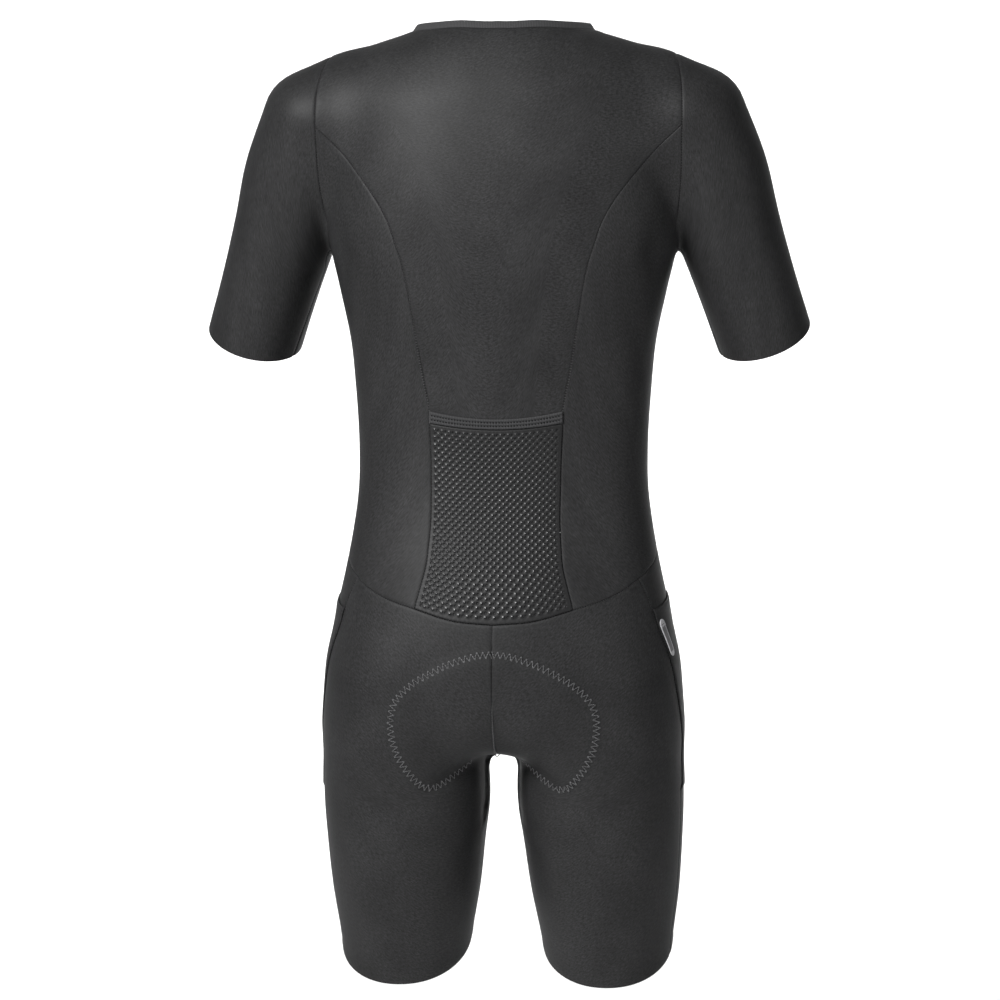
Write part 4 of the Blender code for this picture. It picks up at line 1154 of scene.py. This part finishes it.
@cached
def zigzag_thread_painted_highlight():
    """The pad's thread, of bright trilobal polyester: the same black, glossy, with more lustre along its
    crests; its lighter clouded colour is a painted highlight.
    """
    return clouded("trilobal_polyester_thread_painted_highlight", 0.38, 2.2 * MM, "#141415",
                   bpy.context.scene.skinsuit.zigzag_painted_highlight, (0.3, 0.5), span=(0.35, 0.65),
                   bump=(0.1 * MM, 0.5), sheen=0.3, specular=0.6)


@cached
def coil_nylon():
    """Extruded polyamide coil, dyed black: hard, smooth and half gloss, with scuffs from the slider."""
    return clouded("extruded_polyamide_coil", 0.34, 6 * MM, "#141415", "#262627", (0.28, 0.46), ior=1.53)


@cached
def gunmetal():
    """Die-cast zinc with a dark electroplated finish: satin metal, rubbed brighter where fingers hold it."""
    return clouded("plated_zinc_gunmetal", 0.3, 5 * MM, "#3A3A3D", "#6A6A6E", (0.24, 0.44), span=(0.35, 0.75),
                   metallic=1.0)


@cached
def reflective_film():
    """Glass-bead reflective film on cloth, heat-pressed: an even silver grey with a fine sandy sparkle."""
    return clouded("glass_bead_reflective_film", 0.36, 0.6 * MM, "#4E4E50",
                   bpy.context.scene.skinsuit.tag_light, (0.3, 0.48), on_cloth=True, detail=2.0,
                   bump=(0.05 * MM, 0.6), metallic=0.35, specular=0.6)


@cached
def tag_edge():
    """The same film where it is sealed and sewn down along its rim: paler and smoother than the field."""
    return clouded("sealed_film_rim", 0.42, 0.8 * MM, "#8A8A8C", "#B4B4B6", (0.36, 0.5), on_cloth=True)


@cached
def brushed_pad():
    """Brushed polyester microfibre laminated on foam: short nap, dull, slightly clouded."""
    return clouded("brushed_microfibre_pad", 0.9, 1.4 * MM, "#303034", "#47474C", (0.84, 0.96),
                   bump=(0.2 * MM, 0.6), sheen=0.5, specular=0.2)


@cached
def studio_paint():
    """Matt white studio paint, rolled: an even pale field with a barely clouded tone."""
    material, tree, shader = finish("matt_studio_paint", 0.9, specular=0.1)
    place = add(tree, "ShaderNodeTexCoord").outputs["Object"]
    cloud = noise(tree, place, 0.9, detail=1.0)
    tree.links.new(shades(tree, cloud, "#F6F6F6", "#FBFBFB", 0.3, 0.7), shader.inputs["Base Color"])
    return material


# The pieces that aren't plain panels

def hem_line(grid):
    """The shallow groove of the stitched hem, a little above the leg's edge."""
    down = runs(grid, 0)
    from_foot = down[-1:] - down
    swell = 0.35 * MM * bump_at(from_foot, HEM_HEIGHT / 2, 4 * MM)
    return swell - 0.5 * MM * bump_at(from_foot, HEM_HEIGHT, 1.2 * MM)


def mouth_roll(grid):
    """The thigh pocket's folded mouth, a low roll along its top."""
    return 0.5 * MM * bump_at(runs(grid, 0), 5 * MM, 4 * MM)


def fine_between(grid, rows, cols):
    """A grid read again at other numbers of rows and columns, evenly by its own lines."""
    for axis, count in ((0, rows), (1, cols)):
        grid = resample(grid, axis, np.linspace(0, grid.shape[axis] - 1, count + 1))
    return grid


def make_band():
    """Folded elastic across the pocket's mouth: three low ribs, with a row of stitches in each valley."""
    start = ARMHOLE_YOKE_STEPS + BACK_SEAM_STEPS
    strip = grids()["back_centre"][start:start + BAND_STEPS + 1]
    strip = settle(fine_between(strip, 24, 56), 0, 3)
    facing = unit(slope(strip))
    across = np.linspace(0, 1, 25)[:, None]
    ribs = 0.32 * MM * np.cos(2 * math.pi * 3 * (across - 1 / 6))
    fall = 0.9 * MM * (bump_at(across, 0, 0.035) + bump_at(across, 1, 0.035))
    top = LAY_GAP + BAND_WALL - 0.4 * MM
    edge = tuck(strip, facing, 0.3 * MM)
    outer = edge + facing * (top + ribs - fall)[..., None]
    inner = edge + facing * LAY_GAP
    obj = sheet_shell("back_pocket_band_elastic", outer, inner, ribbed_elastic())
    rows = []
    for share in (1 / 3, 2 / 3):
        line = strip[int(round(share * 24))]
        rows.append(stitch_row(line, 2.9 * MM, 0.5, lift=top, start=1.5 * MM))
    # Near-black thread: painted shade in the band's stitch holes.
    stitches = sew("back_pocket_band_stitches", rows, 0.7 * MM, sunk_thread_painted_shade(), 0.2 * MM)
    declare("back_pocket_band")


def make_mesh_pocket():
    """An open net: rows of eyelets and raised knots that change places from row to row."""
    sizes = bpy.context.scene.skinsuit
    start = ARMHOLE_YOKE_STEPS + BACK_SEAM_STEPS + BAND_STEPS
    rows, cols = sizes.eyelet_rows, 2 * sizes.eyelet_columns
    net = settle(fine_between(grids()["back_centre"][start:], rows, cols), 0, 4)
    facing = unit(slope(net))
    level = LAY_GAP + 0.35 * MM
    base = tuck(net, facing, 0.5 * MM) + facing * level
    bm = bmesh.new()
    layer = bm.loops.layers.uv.new("Cloth")
    knot = bm.verts.layers.float.new("knot")
    corners = [[bm.verts.new(base[i, j]) for j in range(cols + 1)] for i in range(rows + 1)]

    def ring(i, j, share, lift):
        quad = [(i, j), (i, j + 1), (i + 1, j + 1), (i + 1, j)]
        middle = sum(base[p] for p in quad) / 4
        up = facing[i, j] * lift
        return quad, [bm.verts.new(middle + (base[p] - middle) * share + up) for p in quad]

    # The knot values choose the net's colour: 1 on the knots for the painted highlight, lower on the rim and
    # ground for the painted shade.
    for i in range(rows):
        for j in range(cols):
            eyelet = (i + j) % 2 == 1 and 0 < i < rows - 1 and 0 < j < cols - 1
            rim = i in (0, rows - 1) or j in (0, cols - 1)
            share, lift = (0.6, -0.12 * MM) if eyelet else (0.3, 0.1 * MM if rim else 0.85 * MM)
            quad, inner = ring(i, j, share, lift)
            outer = [corners[a][b] for a, b in quad]
            for k in range(4):
                bm.faces.new((outer[k - 1], outer[k], inner[k], inner[k - 1]))
            if not eyelet:
                bm.faces.new(inner)
                for vert in inner:
                    vert[knot] = 0.3 if rim else 1.0
    for corner in (vert for row in corners for vert in row):
        corner[knot] = 0.25
    bm.normal_update()
    for face in bm.faces:
        for loop in face.loops:
            loop[layer].uv = (loop.vert.co.x, loop.vert.co.z)
    if sum(face.normal.y for face in bm.faces) < 0:
        bmesh.ops.reverse_faces(bm, faces=bm.faces)
    mesh = bpy.data.meshes.new("back_pocket_net")
    bm.to_mesh(mesh)
    bm.free()
    for polygon in mesh.polygons:
        polygon.use_smooth = True
    mesh.materials.append(eyelet_mesh())
    obj = bpy.data.objects.new("back_pocket_net", mesh)
    bpy.context.scene.collection.objects.link(obj)
    wall = obj.modifiers.new("Filament", "SOLIDIFY")
    wall.thickness = 0.55 * MM
    wall.offset = 0
    round_off = obj.modifiers.new("Round", "SUBSURF")
    round_off.levels = round_off.render_levels = 1
    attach(obj, GARMENT)
    declare("back_pocket_mesh")


def make_binding():
    """A folded elastic that stands on the neck seam, with a soft edge and fine ribs."""
    s = lines()
    half = np.concatenate((s["neck_front"][::-1], s["neck_back"][1:]))
    ring = np.concatenate((s["neck_zip"][1:] + X_AXIS * SEAM_GAP / 2, half, mirrored(s["neck_front"])[1:],
                           mirrored(s["neck_zip"])[1:] - X_AXIS * SEAM_GAP / 2))
    facing = unit(slope(ring))
    run = unit(np.gradient(ring, axis=0))
    along = unit(np.cross(run, facing))
    along *= np.sign(along[:, 2:3])
    inward = unit(-ring * np.array((1.0, 1.0, 0.0)))
    stand = unit(Z_AXIS + BINDING_LEAN * inward)
    upright = unit(np.cross(stand, run))
    upright *= np.sign((upright * facing).sum(axis=1, keepdims=True))
    first = ring + along * SEAM_GAP / 2
    middle = first + unit(along + stand) * BINDING_HEIGHT * 0.35
    outer, normals = [], []
    for t in np.linspace(0, 1, 9):
        point = first + (middle - first) * min(t / 0.35, 1) + stand * BINDING_HEIGHT * max(t - 0.35, 0)
        normal = unit(facing * (1 - t) + upright * t)
        swell = 0.35 * MM * math.sin(math.pi * t) - 0.5 * MM * math.exp(-(t / 0.12) ** 2)
        outer.append(point + normal * swell)
        normals.append(normal)
    outer, normals = np.stack(outer), np.stack(normals)
    taper = np.array([0.75, 0.9, 1, 1, 1, 1, 0.95, 0.8, 0.5])[:, None, None]
    inner = outer - normals * BINDING_WALL * taper
    obj = sheet_shell("neck_binding_elastic", outer, inner, ribbed_elastic())
    obj.data.set_sharp_from_angle(angle=math.radians(50))
    declare("neck_binding")


def make_zip():
    """Tapes either side of a closed coil, whose teeth are bent filament, set by turns left and right."""
    s = lines()
    sizes = bpy.context.scene.skinsuit
    edge = s["zip_edge"]
    height = edge[:, 2].copy()
    height[0] = s["neck_zip"][-1][2] - BINDING_CLEAR
    inner = on_front(np.full(len(edge), CHAIN_HALF), height)
    for side, mirror in SIDES:
        grid = fine_between(np.stack((edge, inner), axis=1), 2 * (len(edge) - 1), 6)
        facing = unit(slope(grid))
        outer = tuck(grid, facing, 0.2 * MM)
        inside = outer - facing * TAPE_WALL
        if mirror:
            outer, inside = mirrored(outer), mirrored(inside)
        obj = sheet_shell("zip_tape_" + side + "_weave", outer, inside, zip_tape_weave())
        declare("zip_tape_" + side)
    middle = on_front(np.zeros(len(height)), height)
    starts, ends, ups = [], [], []
    for side in (-1, 1):
        run = runs(middle)
        first = sizes.zip_pitch * (1.2 if side > 0 else 1.7)
        at = np.arange(first, run[-1] - sizes.zip_pitch, sizes.zip_pitch)
        centre = follow(middle, at, run)
        up = unit(slope(centre))
        down = unit(np.cross(X_AXIS, up))
        starts.append(centre + X_AXIS * side * 2.75 * MM - up * 0.5 * MM + down * 0.2 * MM)
        ends.append(centre - X_AXIS * side * 0.6 * MM - up * 0.15 * MM - down * 0.2 * MM)
        ups.append(up)
    begin, end, up = (np.concatenate(parts) for parts in (starts, ends, ups))
    coil = threads("zip_coil", begin, end, up, 0.52 * MM, coil_nylon(), flat=0.9, bow=0.25 * MM)
    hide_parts("zip_chain")
    for node in ("zip_slider", "zip_pull"):
        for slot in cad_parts[node].material_slots:
            slot.material = gunmetal()


def make_pad():
    """The pad: a crowned cushion with two sewn channels, thinning to its edge."""
    s = lines()
    level = -(WALL + PAD_GAP)
    guide = np.array(PAD_EDGE) * MM
    share = np.linspace(0, 1, len(guide))
    rows, cols = 3 * PAD_ROWS, 4 * PAD_COLUMNS
    t = np.linspace(0, 1, 10 * PAD_ROWS + 1)
    close = follow(guide, t, share)
    edge = settle(even(settle(close, level), rows), level)
    middle = below(s["centre_back"], s["centre_front"][::-1])
    run = runs(middle)
    crotch = len(s["centre_back"]) - 1
    start = float(np.interp(-guide[0, 2], -middle[:crotch, 2], run[:crotch]))
    end = float(np.interp(-guide[-1, 1], -middle[crotch:, 1], run[crotch:]))
    middle = settle(even(middle, rows, start / run[-1], end / run[-1]), level)
    u = np.linspace(0, 1, cols + 1)[:, None]
    top = settle(edge[0] + (middle[0] - edge[0]) * u, level)
    foot = settle(edge[-1] + (middle[-1] - edge[-1]) * u, level)
    half = patch(edge, middle, top, foot, level)
    grid = beside(half, mirrored(half)[:, ::-1])
    from_edge = edge_distance(grid, ALL_ROUND)
    crown = np.clip(from_edge / (16 * MM), 0, 1)
    wall = PAD_EDGE_WALL + (PAD_WALL - PAD_EDGE_WALL) * np.sqrt(1 - (1 - crown) ** 2)
    for place in (26 * MM, 46 * MM):
        wall = wall - 1.6 * MM * bump_at(from_edge, place, 2.4 * MM)
    outer = grid
    inner = grid - unit(slope(grid)) * wall[..., None]
    obj = sheet_shell("seat_pad_cushion", outer, inner, brushed_pad())
    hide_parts("seat_pad")


def make_tag():
    """Reflective tag: a sealed rim round a plain field, with its top folded and sewn down."""
    s = lines()
    t = np.linspace(0, 1, 41)
    z = TAG_TOP_Z + (TAG_FOOT_Z - TAG_TOP_Z) * t
    edge = s["panel_back"][:HIP_STEPS + 1][::-1]
    spine = follow(edge, z, edge[:, 2])
    facing = unit(slope(spine))
    across = unit(np.cross(facing, unit(np.gradient(spine, axis=0))))
    across *= -np.sign(across[:, 1:2])
    length = TAG_TOP_Z - TAG_FOOT_Z
    from_end = np.minimum(t, 1 - t) * length
    half = TAG_HALF * np.sqrt(np.clip(1 - np.clip(1 - from_end / TAG_HALF, 0, 0.97) ** 2, 0, 1))
    middle = spine + across * (TAG_HALF + TAG_INSET)
    shares = np.array((-1, -0.9, -0.72, -0.6, -0.3, 0, 0.3, 0.6, 0.72, 0.9, 1))
    grid = np.stack([middle + across * half[:, None] * k for k in shares], axis=1)
    grid = settle(grid, LAY_GAP * 2 + POCKET_WALL)
    facing = unit(slope(grid))
    rim = np.maximum(np.abs(shares)[None, :], 1 - from_end[:, None] / TAG_HALF * 0.3)
    raised = np.where(rim > 0.74, 0.85, 0.55) * MM - 0.3 * MM * (rim > 0.97)
    fold = bump_at(t * length, TAG_FOLD, 1.2 * MM)[:, None]
    outer = mirrored(grid + facing * (raised + 0.3 * MM * fold)[..., None])
    obj = sheet_shell("side_tag_film", outer, mirrored(grid), reflective_film())
    obj.data.materials.append(tag_edge())
    rows, cols = grid.shape[:2]
    for polygon in obj.data.polygons:
        vertex = [v % (rows * cols) for v in polygon.vertices]
        on_fold = max(abs(t[v // cols] * length - TAG_FOLD) for v in vertex) < 1.1 * MM
        if on_fold or min(rim[v // cols, v % cols] for v in vertex) > 0.7:
            polygon.material_index = 1
    declare("side_tag")


# Sewing

def sew(name, rows, radius, material, bow=0.0):
    """Rows of stitches as one piece."""
    begin, end, ups = (np.concatenate([row[k] for row in rows]) for k in range(3))
    obj = threads(name, begin, end, ups, radius, material, bow=bow)
    return obj


def rungs(lines_across, pitch):
    """Stitches that cross seam gaps on both sides, like the rungs of a ladder."""
    return [stitch_row(path, pitch, 1, lift=-RUNG_DEPTH, along=False, half=RUNG_HALF)
            for line in lines_across for path in both_sides(line)]


def sew_seams():
    """Rungs across the seams, and a thread inside the lower seams that shuts out the light."""
    s = lines()
    pitch = bpy.context.scene.skinsuit.stitch_pitch
    upper = ("armhole_back", "armhole_yoke", "armhole_front", "back_seam", "side_seam", "shoulder",
             "waist_back", "waist_side_back", "waist_side", "waist_side_front", "waist_front")
    leg_seams = [s["panel_back"], s["panel_front"], s["inseam"]]
    centres = [s["centre_back"], s["centre_front"]]
    sew("seam_stitches_upper", rungs([s[name] for name in upper], pitch), SEAM_THREAD, thread())
    rows = rungs([*leg_seams, *s["underarm"]], pitch)
    for path in centres:
        rows.append(stitch_row(path, pitch, 1, lift=-INNER_DEPTH, along=False, half=CENTRE_RUNG_HALF))
    for path in [side for seam in leg_seams for side in both_sides(seam)] + centres:
        length = runs(path)[-1] / INNER_RUNS * WHOLE_RUN
        rows.append(stitch_row(path, length, 1, lift=-INNER_DEPTH))
    sew("seam_stitches_lower", rows, SEAM_THREAD, thread())


def sew_pad():
    """The pad's three-step zigzag, seen on the outside of the seat."""
    edge = np.array(PAD_STITCHING) * MM
    t = np.linspace(0, len(edge) - 1, 400)
    x, z = np.interp(t, range(len(edge)), edge[:, 0]), np.interp(t, range(len(edge)), edge[:, 1])
    line = on_back(x, z)
    line = line + unit(slope(line)) * (PAD_SHOWS * 0.5 + crease_depth(line))[:, None]
    rows = []
    for path in both_sides(line):
        run = runs(path)
        count = int(run[-1] / ZIGZAG_PITCH)
        at = np.arange(count * 6 + 1) / 6 * ZIGZAG_PITCH
        swing = np.array((-1, -1 / 3, 1 / 3, 1, 1 / 3, -1 / 3))[np.arange(len(at)) % 6] * ZIGZAG_HALF
        point = follow(path, at, run)
        ups = unit(slope(point))
        across = unit(np.cross(unit(np.gradient(point, axis=0)), ups))
        point = point + across * swing[:, None] + ups * 0.25 * MM
        rows.append((point[:-1], point[1:], ups[:-1]))
    sew("seat_pad_zigzag", rows, 0.5 * MM, zigzag_thread_painted_highlight(), bow=0.3 * MM)


def sew_hems():
    """A row of stitches above each leg's edge, and one along each thigh pocket's mouth."""
    found = grids()
    rows = []
    for name in ("shorts_back", "side_panel", "shorts_front"):
        grid = found[name]
        down = runs(grid, 0)
        from_foot = down[-1:] - down
        points = []
        for j in range(grid.shape[1]):
            points.append([np.interp(-HEM_HEIGHT, -from_foot[:, j], grid[:, j, k]) for k in range(3)])
        line = settle(np.array(points))
        rows += [stitch_row(path, 3.0 * MM, 0.7, lift=-0.25 * MM) for path in both_sides(line)]
    sew("hem_stitches", rows, 0.3 * MM, thread())
    mouth = found["side_panel"][MOUTH_STEPS + 1]
    lift = LAY_GAP + 0.9 * MM
    rows = [stitch_row(path, 2.8 * MM, 0.7, lift=lift) for path in both_sides(mouth)]
    sew("pocket_mouth_stitches", rows, 0.3 * MM, thread())


# Studio

def area_light(name, place, aim, size, power, spread=180):
    light = bpy.data.lights.new(name, "AREA")
    light.spread = math.radians(spread)
    light.shape = "RECTANGLE"
    light.size, light.size_y = size
    light.energy = power
    obj = bpy.data.objects.new(name, light)
    obj.location = place
    obj.rotation_euler = (Vector(aim) - Vector(place)).to_track_quat("-Z", "Y").to_euler()
    bpy.context.scene.collection.objects.link(obj)


def make_studio():
    turn = np.linspace(0, math.pi / 2, 13)
    run = [(SWEEP_HALF, FLOOR_Z)]
    for a in turn:
        run.append((-SWEEP_START - SWEEP_ROUND * math.sin(a), FLOOR_Z + SWEEP_ROUND * (1 - math.cos(a))))
    run.append((-SWEEP_START - SWEEP_ROUND, SWEEP_TOP))
    points = [(x, y, z) for x in (-SWEEP_HALF, SWEEP_HALF) for y, z in run]
    count = len(run)
    faces = [(k, k + 1, count + k + 1, count + k) for k in range(count - 1)]
    mesh = bpy.data.meshes.new("studio_sweep")
    mesh.from_pydata(points, [], faces)
    for polygon in mesh.polygons:
        polygon.use_smooth = True
    mesh.materials.append(studio_paint())
    sweep = bpy.data.objects.new("studio_sweep", mesh)
    bpy.context.scene.collection.objects.link(sweep)

    world = bpy.data.worlds.new("studio_air")
    world.use_nodes = True
    air = world.node_tree.nodes["Background"]
    air.inputs["Color"].default_value = linear("#FFFFFF")
    air.inputs["Strength"].default_value = 0.1
    bpy.context.scene.world = world
    bpy.context.scene.view_settings.view_transform = "Standard"
    power = bpy.context.scene.skinsuit.key_power
    area_light("key", (1.5, 2.4, 1.5), (0, 0, -0.45), (1.0, 1.2), power)
    area_light("side", (-2.4, 1.8, 0.2), (0, 0, -0.5), (0.8, 2.0), power * 0.1)
    for name, side in (("backdrop_left", -1), ("backdrop_right", 1)):
        place = (side * 2.4, -2.0, 0.0)
        area_light(name, place, (0, -4.0, -0.8), (0.5, 2.0), power * 0.15, spread=95)

    camera = bpy.data.cameras.new("camera")
    camera.sensor_width = SENSOR
    camera.lens = SENSOR * CAMERA_DISTANCE * CAMERA_SCALE
    obj = bpy.data.objects.new("camera", camera)
    away = math.radians(CAMERA_AZIMUTH)
    aim = Vector(CAMERA_AIM)
    across, back = math.sin(away) * CAMERA_DISTANCE, -math.cos(away) * CAMERA_DISTANCE
    obj.location = Vector((aim.x + across, back, CAMERA_Z))
    look = (aim - obj.location).to_track_quat("-Z", "Y").to_matrix().to_4x4()
    obj.matrix_world = Matrix.Translation(obj.location) @ look
    bpy.context.scene.collection.objects.link(obj)
    bpy.context.scene.camera = obj


# Sizes and colours that a user would change

class SkinsuitSizes(bpy.types.PropertyGroup):
    cloth_wall: FloatProperty(
        name="Cloth wall", description="Thickness of the knit",
        default=1.0 * MM, unit="LENGTH")
    seam_gap: FloatProperty(
        name="Seam gap", description="Gap between two pieces at a seam",
        default=0.5 * MM, unit="LENGTH")
    seam_turn: FloatProperty(
        name="Seam turn", description="How far the cloth turns down into a seam",
        default=0.6 * MM, unit="LENGTH")
    seam_turn_width: FloatProperty(
        name="Seam turn width", description="Width of cloth that turns down at a seam",
        default=1.3 * MM, unit="LENGTH")
    stitch_pitch: FloatProperty(
        name="Stitch pitch", description="Distance between the seams' stitches",
        default=2.6 * MM, unit="LENGTH")
    eyelet_columns: IntProperty(
        name="Eyelet columns", description="Eyelets across the back pocket",
        default=18)
    eyelet_rows: IntProperty(
        name="Eyelet rows", description="Rows of the net down the back pocket",
        default=50)
    zip_pitch: FloatProperty(
        name="Zip pitch", description="Distance between the zip's coils",
        default=1.5 * MM, unit="LENGTH")
    knit_roughness: FloatProperty(
        name="Knit roughness", description="Roughness of the knit",
        default=0.56, min=0, max=1)
    knit_sheen: FloatProperty(
        name="Knit sheen", description="Soft bloom of the knit",
        default=0.0, min=0, max=1)
    knit_dark: StringProperty(
        name="Knit, dark", description="sRGB colour of the knit's grain",
        default="#191919")
    knit_light: StringProperty(
        name="Knit, light", description="sRGB colour of the knit's face",
        default="#303031")
    # Darker colour of the net's low ground: painted shade
    mesh_ground_painted_shade: StringProperty(
        name="Net, ground", description="sRGB colour between the net's knots",
        default="#080809")
    # Lighter colour of the net's knots: a painted highlight
    mesh_knot_painted_highlight: StringProperty(
        name="Net, knots", description="sRGB colour of the net's knots",
        default="#151516")
    thread_light: StringProperty(
        name="Thread", description="sRGB colour of the seams' thread",
        default="#343435")
    # Lighter colour of the pad's thread: a painted highlight
    zigzag_painted_highlight: StringProperty(
        name="Pad thread", description="sRGB colour of the pad's thread",
        default="#4A4A4C")
    tag_light: StringProperty(
        name="Tag", description="sRGB colour of the side tag",
        default="#6C6C6E")
    key_power: FloatProperty(
        name="Key light", description="Power of the large light at the upper left",
        default=205.0, unit="POWER")


class SKINSUIT_OT_upper(bpy.types.Operator):
    """Back, side and front panels above the waist."""
    bl_idname = "skinsuit.upper"
    bl_label = "Upper panels"

    def execute(self, context):
        panel("back_centre", grids()["back_centre"], ALL_ROUND)
        for side, mirror in SIDES:
            panel("back_side_" + side, grids()["back_side"], ALL_ROUND, mirror)
            panel("front_" + side, grids()["front"], ALL_ROUND, mirror)
        return {"FINISHED"}


class SKINSUIT_OT_sleeves(bpy.types.Operator):
    """Both sleeves, their hems cut raw."""
    bl_idname = "skinsuit.sleeves"
    bl_label = "Sleeves"

    def execute(self, context):
        for side, mirror in SIDES:
            panel("sleeve_" + side, grids()["sleeve"], ("top", "left", "right"), mirror)
        return {"FINISHED"}


class SKINSUIT_OT_shorts(bpy.types.Operator):
    """Back, side and front panels of the shorts."""
    bl_idname = "skinsuit.shorts"
    bl_label = "Shorts"

    def execute(self, context):
        for side, mirror in SIDES:
            for name in ("shorts_back", "side_panel", "shorts_front"):
                seamed = ("top", "left", "right")
                panel(f"{name}_{side}", grids()[name], seamed, mirror, relief=hem_line)
        return {"FINISHED"}


class SKINSUIT_OT_thigh_pockets(bpy.types.Operator):
    """Thigh pockets on the side panels, and the reflective tag on the right one."""
    bl_idname = "skinsuit.thigh_pockets"
    bl_label = "Thigh pockets and tag"

    def execute(self, context):
        grid = grids()["side_panel"][MOUTH_STEPS:HIP_STEPS + 1]
        for side, mirror in SIDES:
            panel("thigh_pocket_" + side, grid, ("foot", "left", "right"), mirror,
                  lift=LAY_GAP, wall=0.9 * MM, relief=mouth_roll)
        make_tag()
        return {"FINISHED"}


class SKINSUIT_OT_back_pocket(bpy.types.Operator):
    """The mesh pocket on the lower back, and its elastic band."""
    bl_idname = "skinsuit.back_pocket"
    bl_label = "Back pocket"

    def execute(self, context):
        make_band()
        make_mesh_pocket()
        return {"FINISHED"}


class SKINSUIT_OT_neck(bpy.types.Operator):
    """The elastic binding round the neck."""
    bl_idname = "skinsuit.neck"
    bl_label = "Neck binding"

    def execute(self, context):
        make_binding()
        return {"FINISHED"}


class SKINSUIT_OT_zip(bpy.types.Operator):
    """Zip tapes and coil, and the finish of the slider and its pull tab."""
    bl_idname = "skinsuit.zip"
    bl_label = "Zip"

    def execute(self, context):
        make_zip()
        return {"FINISHED"}


class SKINSUIT_OT_pad(bpy.types.Operator):
    """The seat pad inside the shorts."""
    bl_idname = "skinsuit.pad"
    bl_label = "Seat pad"

    def execute(self, context):
        make_pad()
        return {"FINISHED"}


class SKINSUIT_OT_sewing(bpy.types.Operator):
    """Stitches in the seams, round the pad and along the hems."""
    bl_idname = "skinsuit.sewing"
    bl_label = "Sewing"

    def execute(self, context):
        sew_seams()
        sew_pad()
        sew_hems()
        return {"FINISHED"}


class SKINSUIT_OT_studio(bpy.types.Operator):
    """Pale floor and backdrop, soft lights and the camera."""
    bl_idname = "skinsuit.studio"
    bl_label = "Studio"

    def execute(self, context):
        make_studio()
        return {"FINISHED"}


OPERATORS = (
    SKINSUIT_OT_upper, SKINSUIT_OT_sleeves, SKINSUIT_OT_shorts, SKINSUIT_OT_thigh_pockets,
    SKINSUIT_OT_back_pocket, SKINSUIT_OT_neck, SKINSUIT_OT_zip, SKINSUIT_OT_pad, SKINSUIT_OT_sewing,
    SKINSUIT_OT_studio,
)


class SKINSUIT_PT_parts(bpy.types.Panel):
    """Lists the garment's operators and sizes."""
    bl_label = "Skinsuit"
    bl_idname = "SKINSUIT_PT_parts"
    bl_space_type = "VIEW_3D"
    bl_region_type = "UI"
    bl_category = "Skinsuit"

    def draw(self, context):
        column = self.layout.column(align=True)
        for operator in OPERATORS:
            column.operator(operator.bl_idname)
        sizes = self.layout.column()
        for name in SkinsuitSizes.__annotations__:
            sizes.prop(context.scene.skinsuit, name)


CLASSES = (SkinsuitSizes, *OPERATORS, SKINSUIT_PT_parts)


def register():
    for cls in CLASSES:
        bpy.utils.register_class(cls)
    bpy.types.Scene.skinsuit = PointerProperty(type=SkinsuitSizes)


def unregister():
    del bpy.types.Scene.skinsuit
    for cls in reversed(CLASSES):
        bpy.utils.unregister_class(cls)


def main():
    register()
    for operator in OPERATORS:
        group, name = operator.bl_idname.split(".")
        getattr(getattr(bpy.ops, group), name)()


if __name__ == "__main__":
    main()
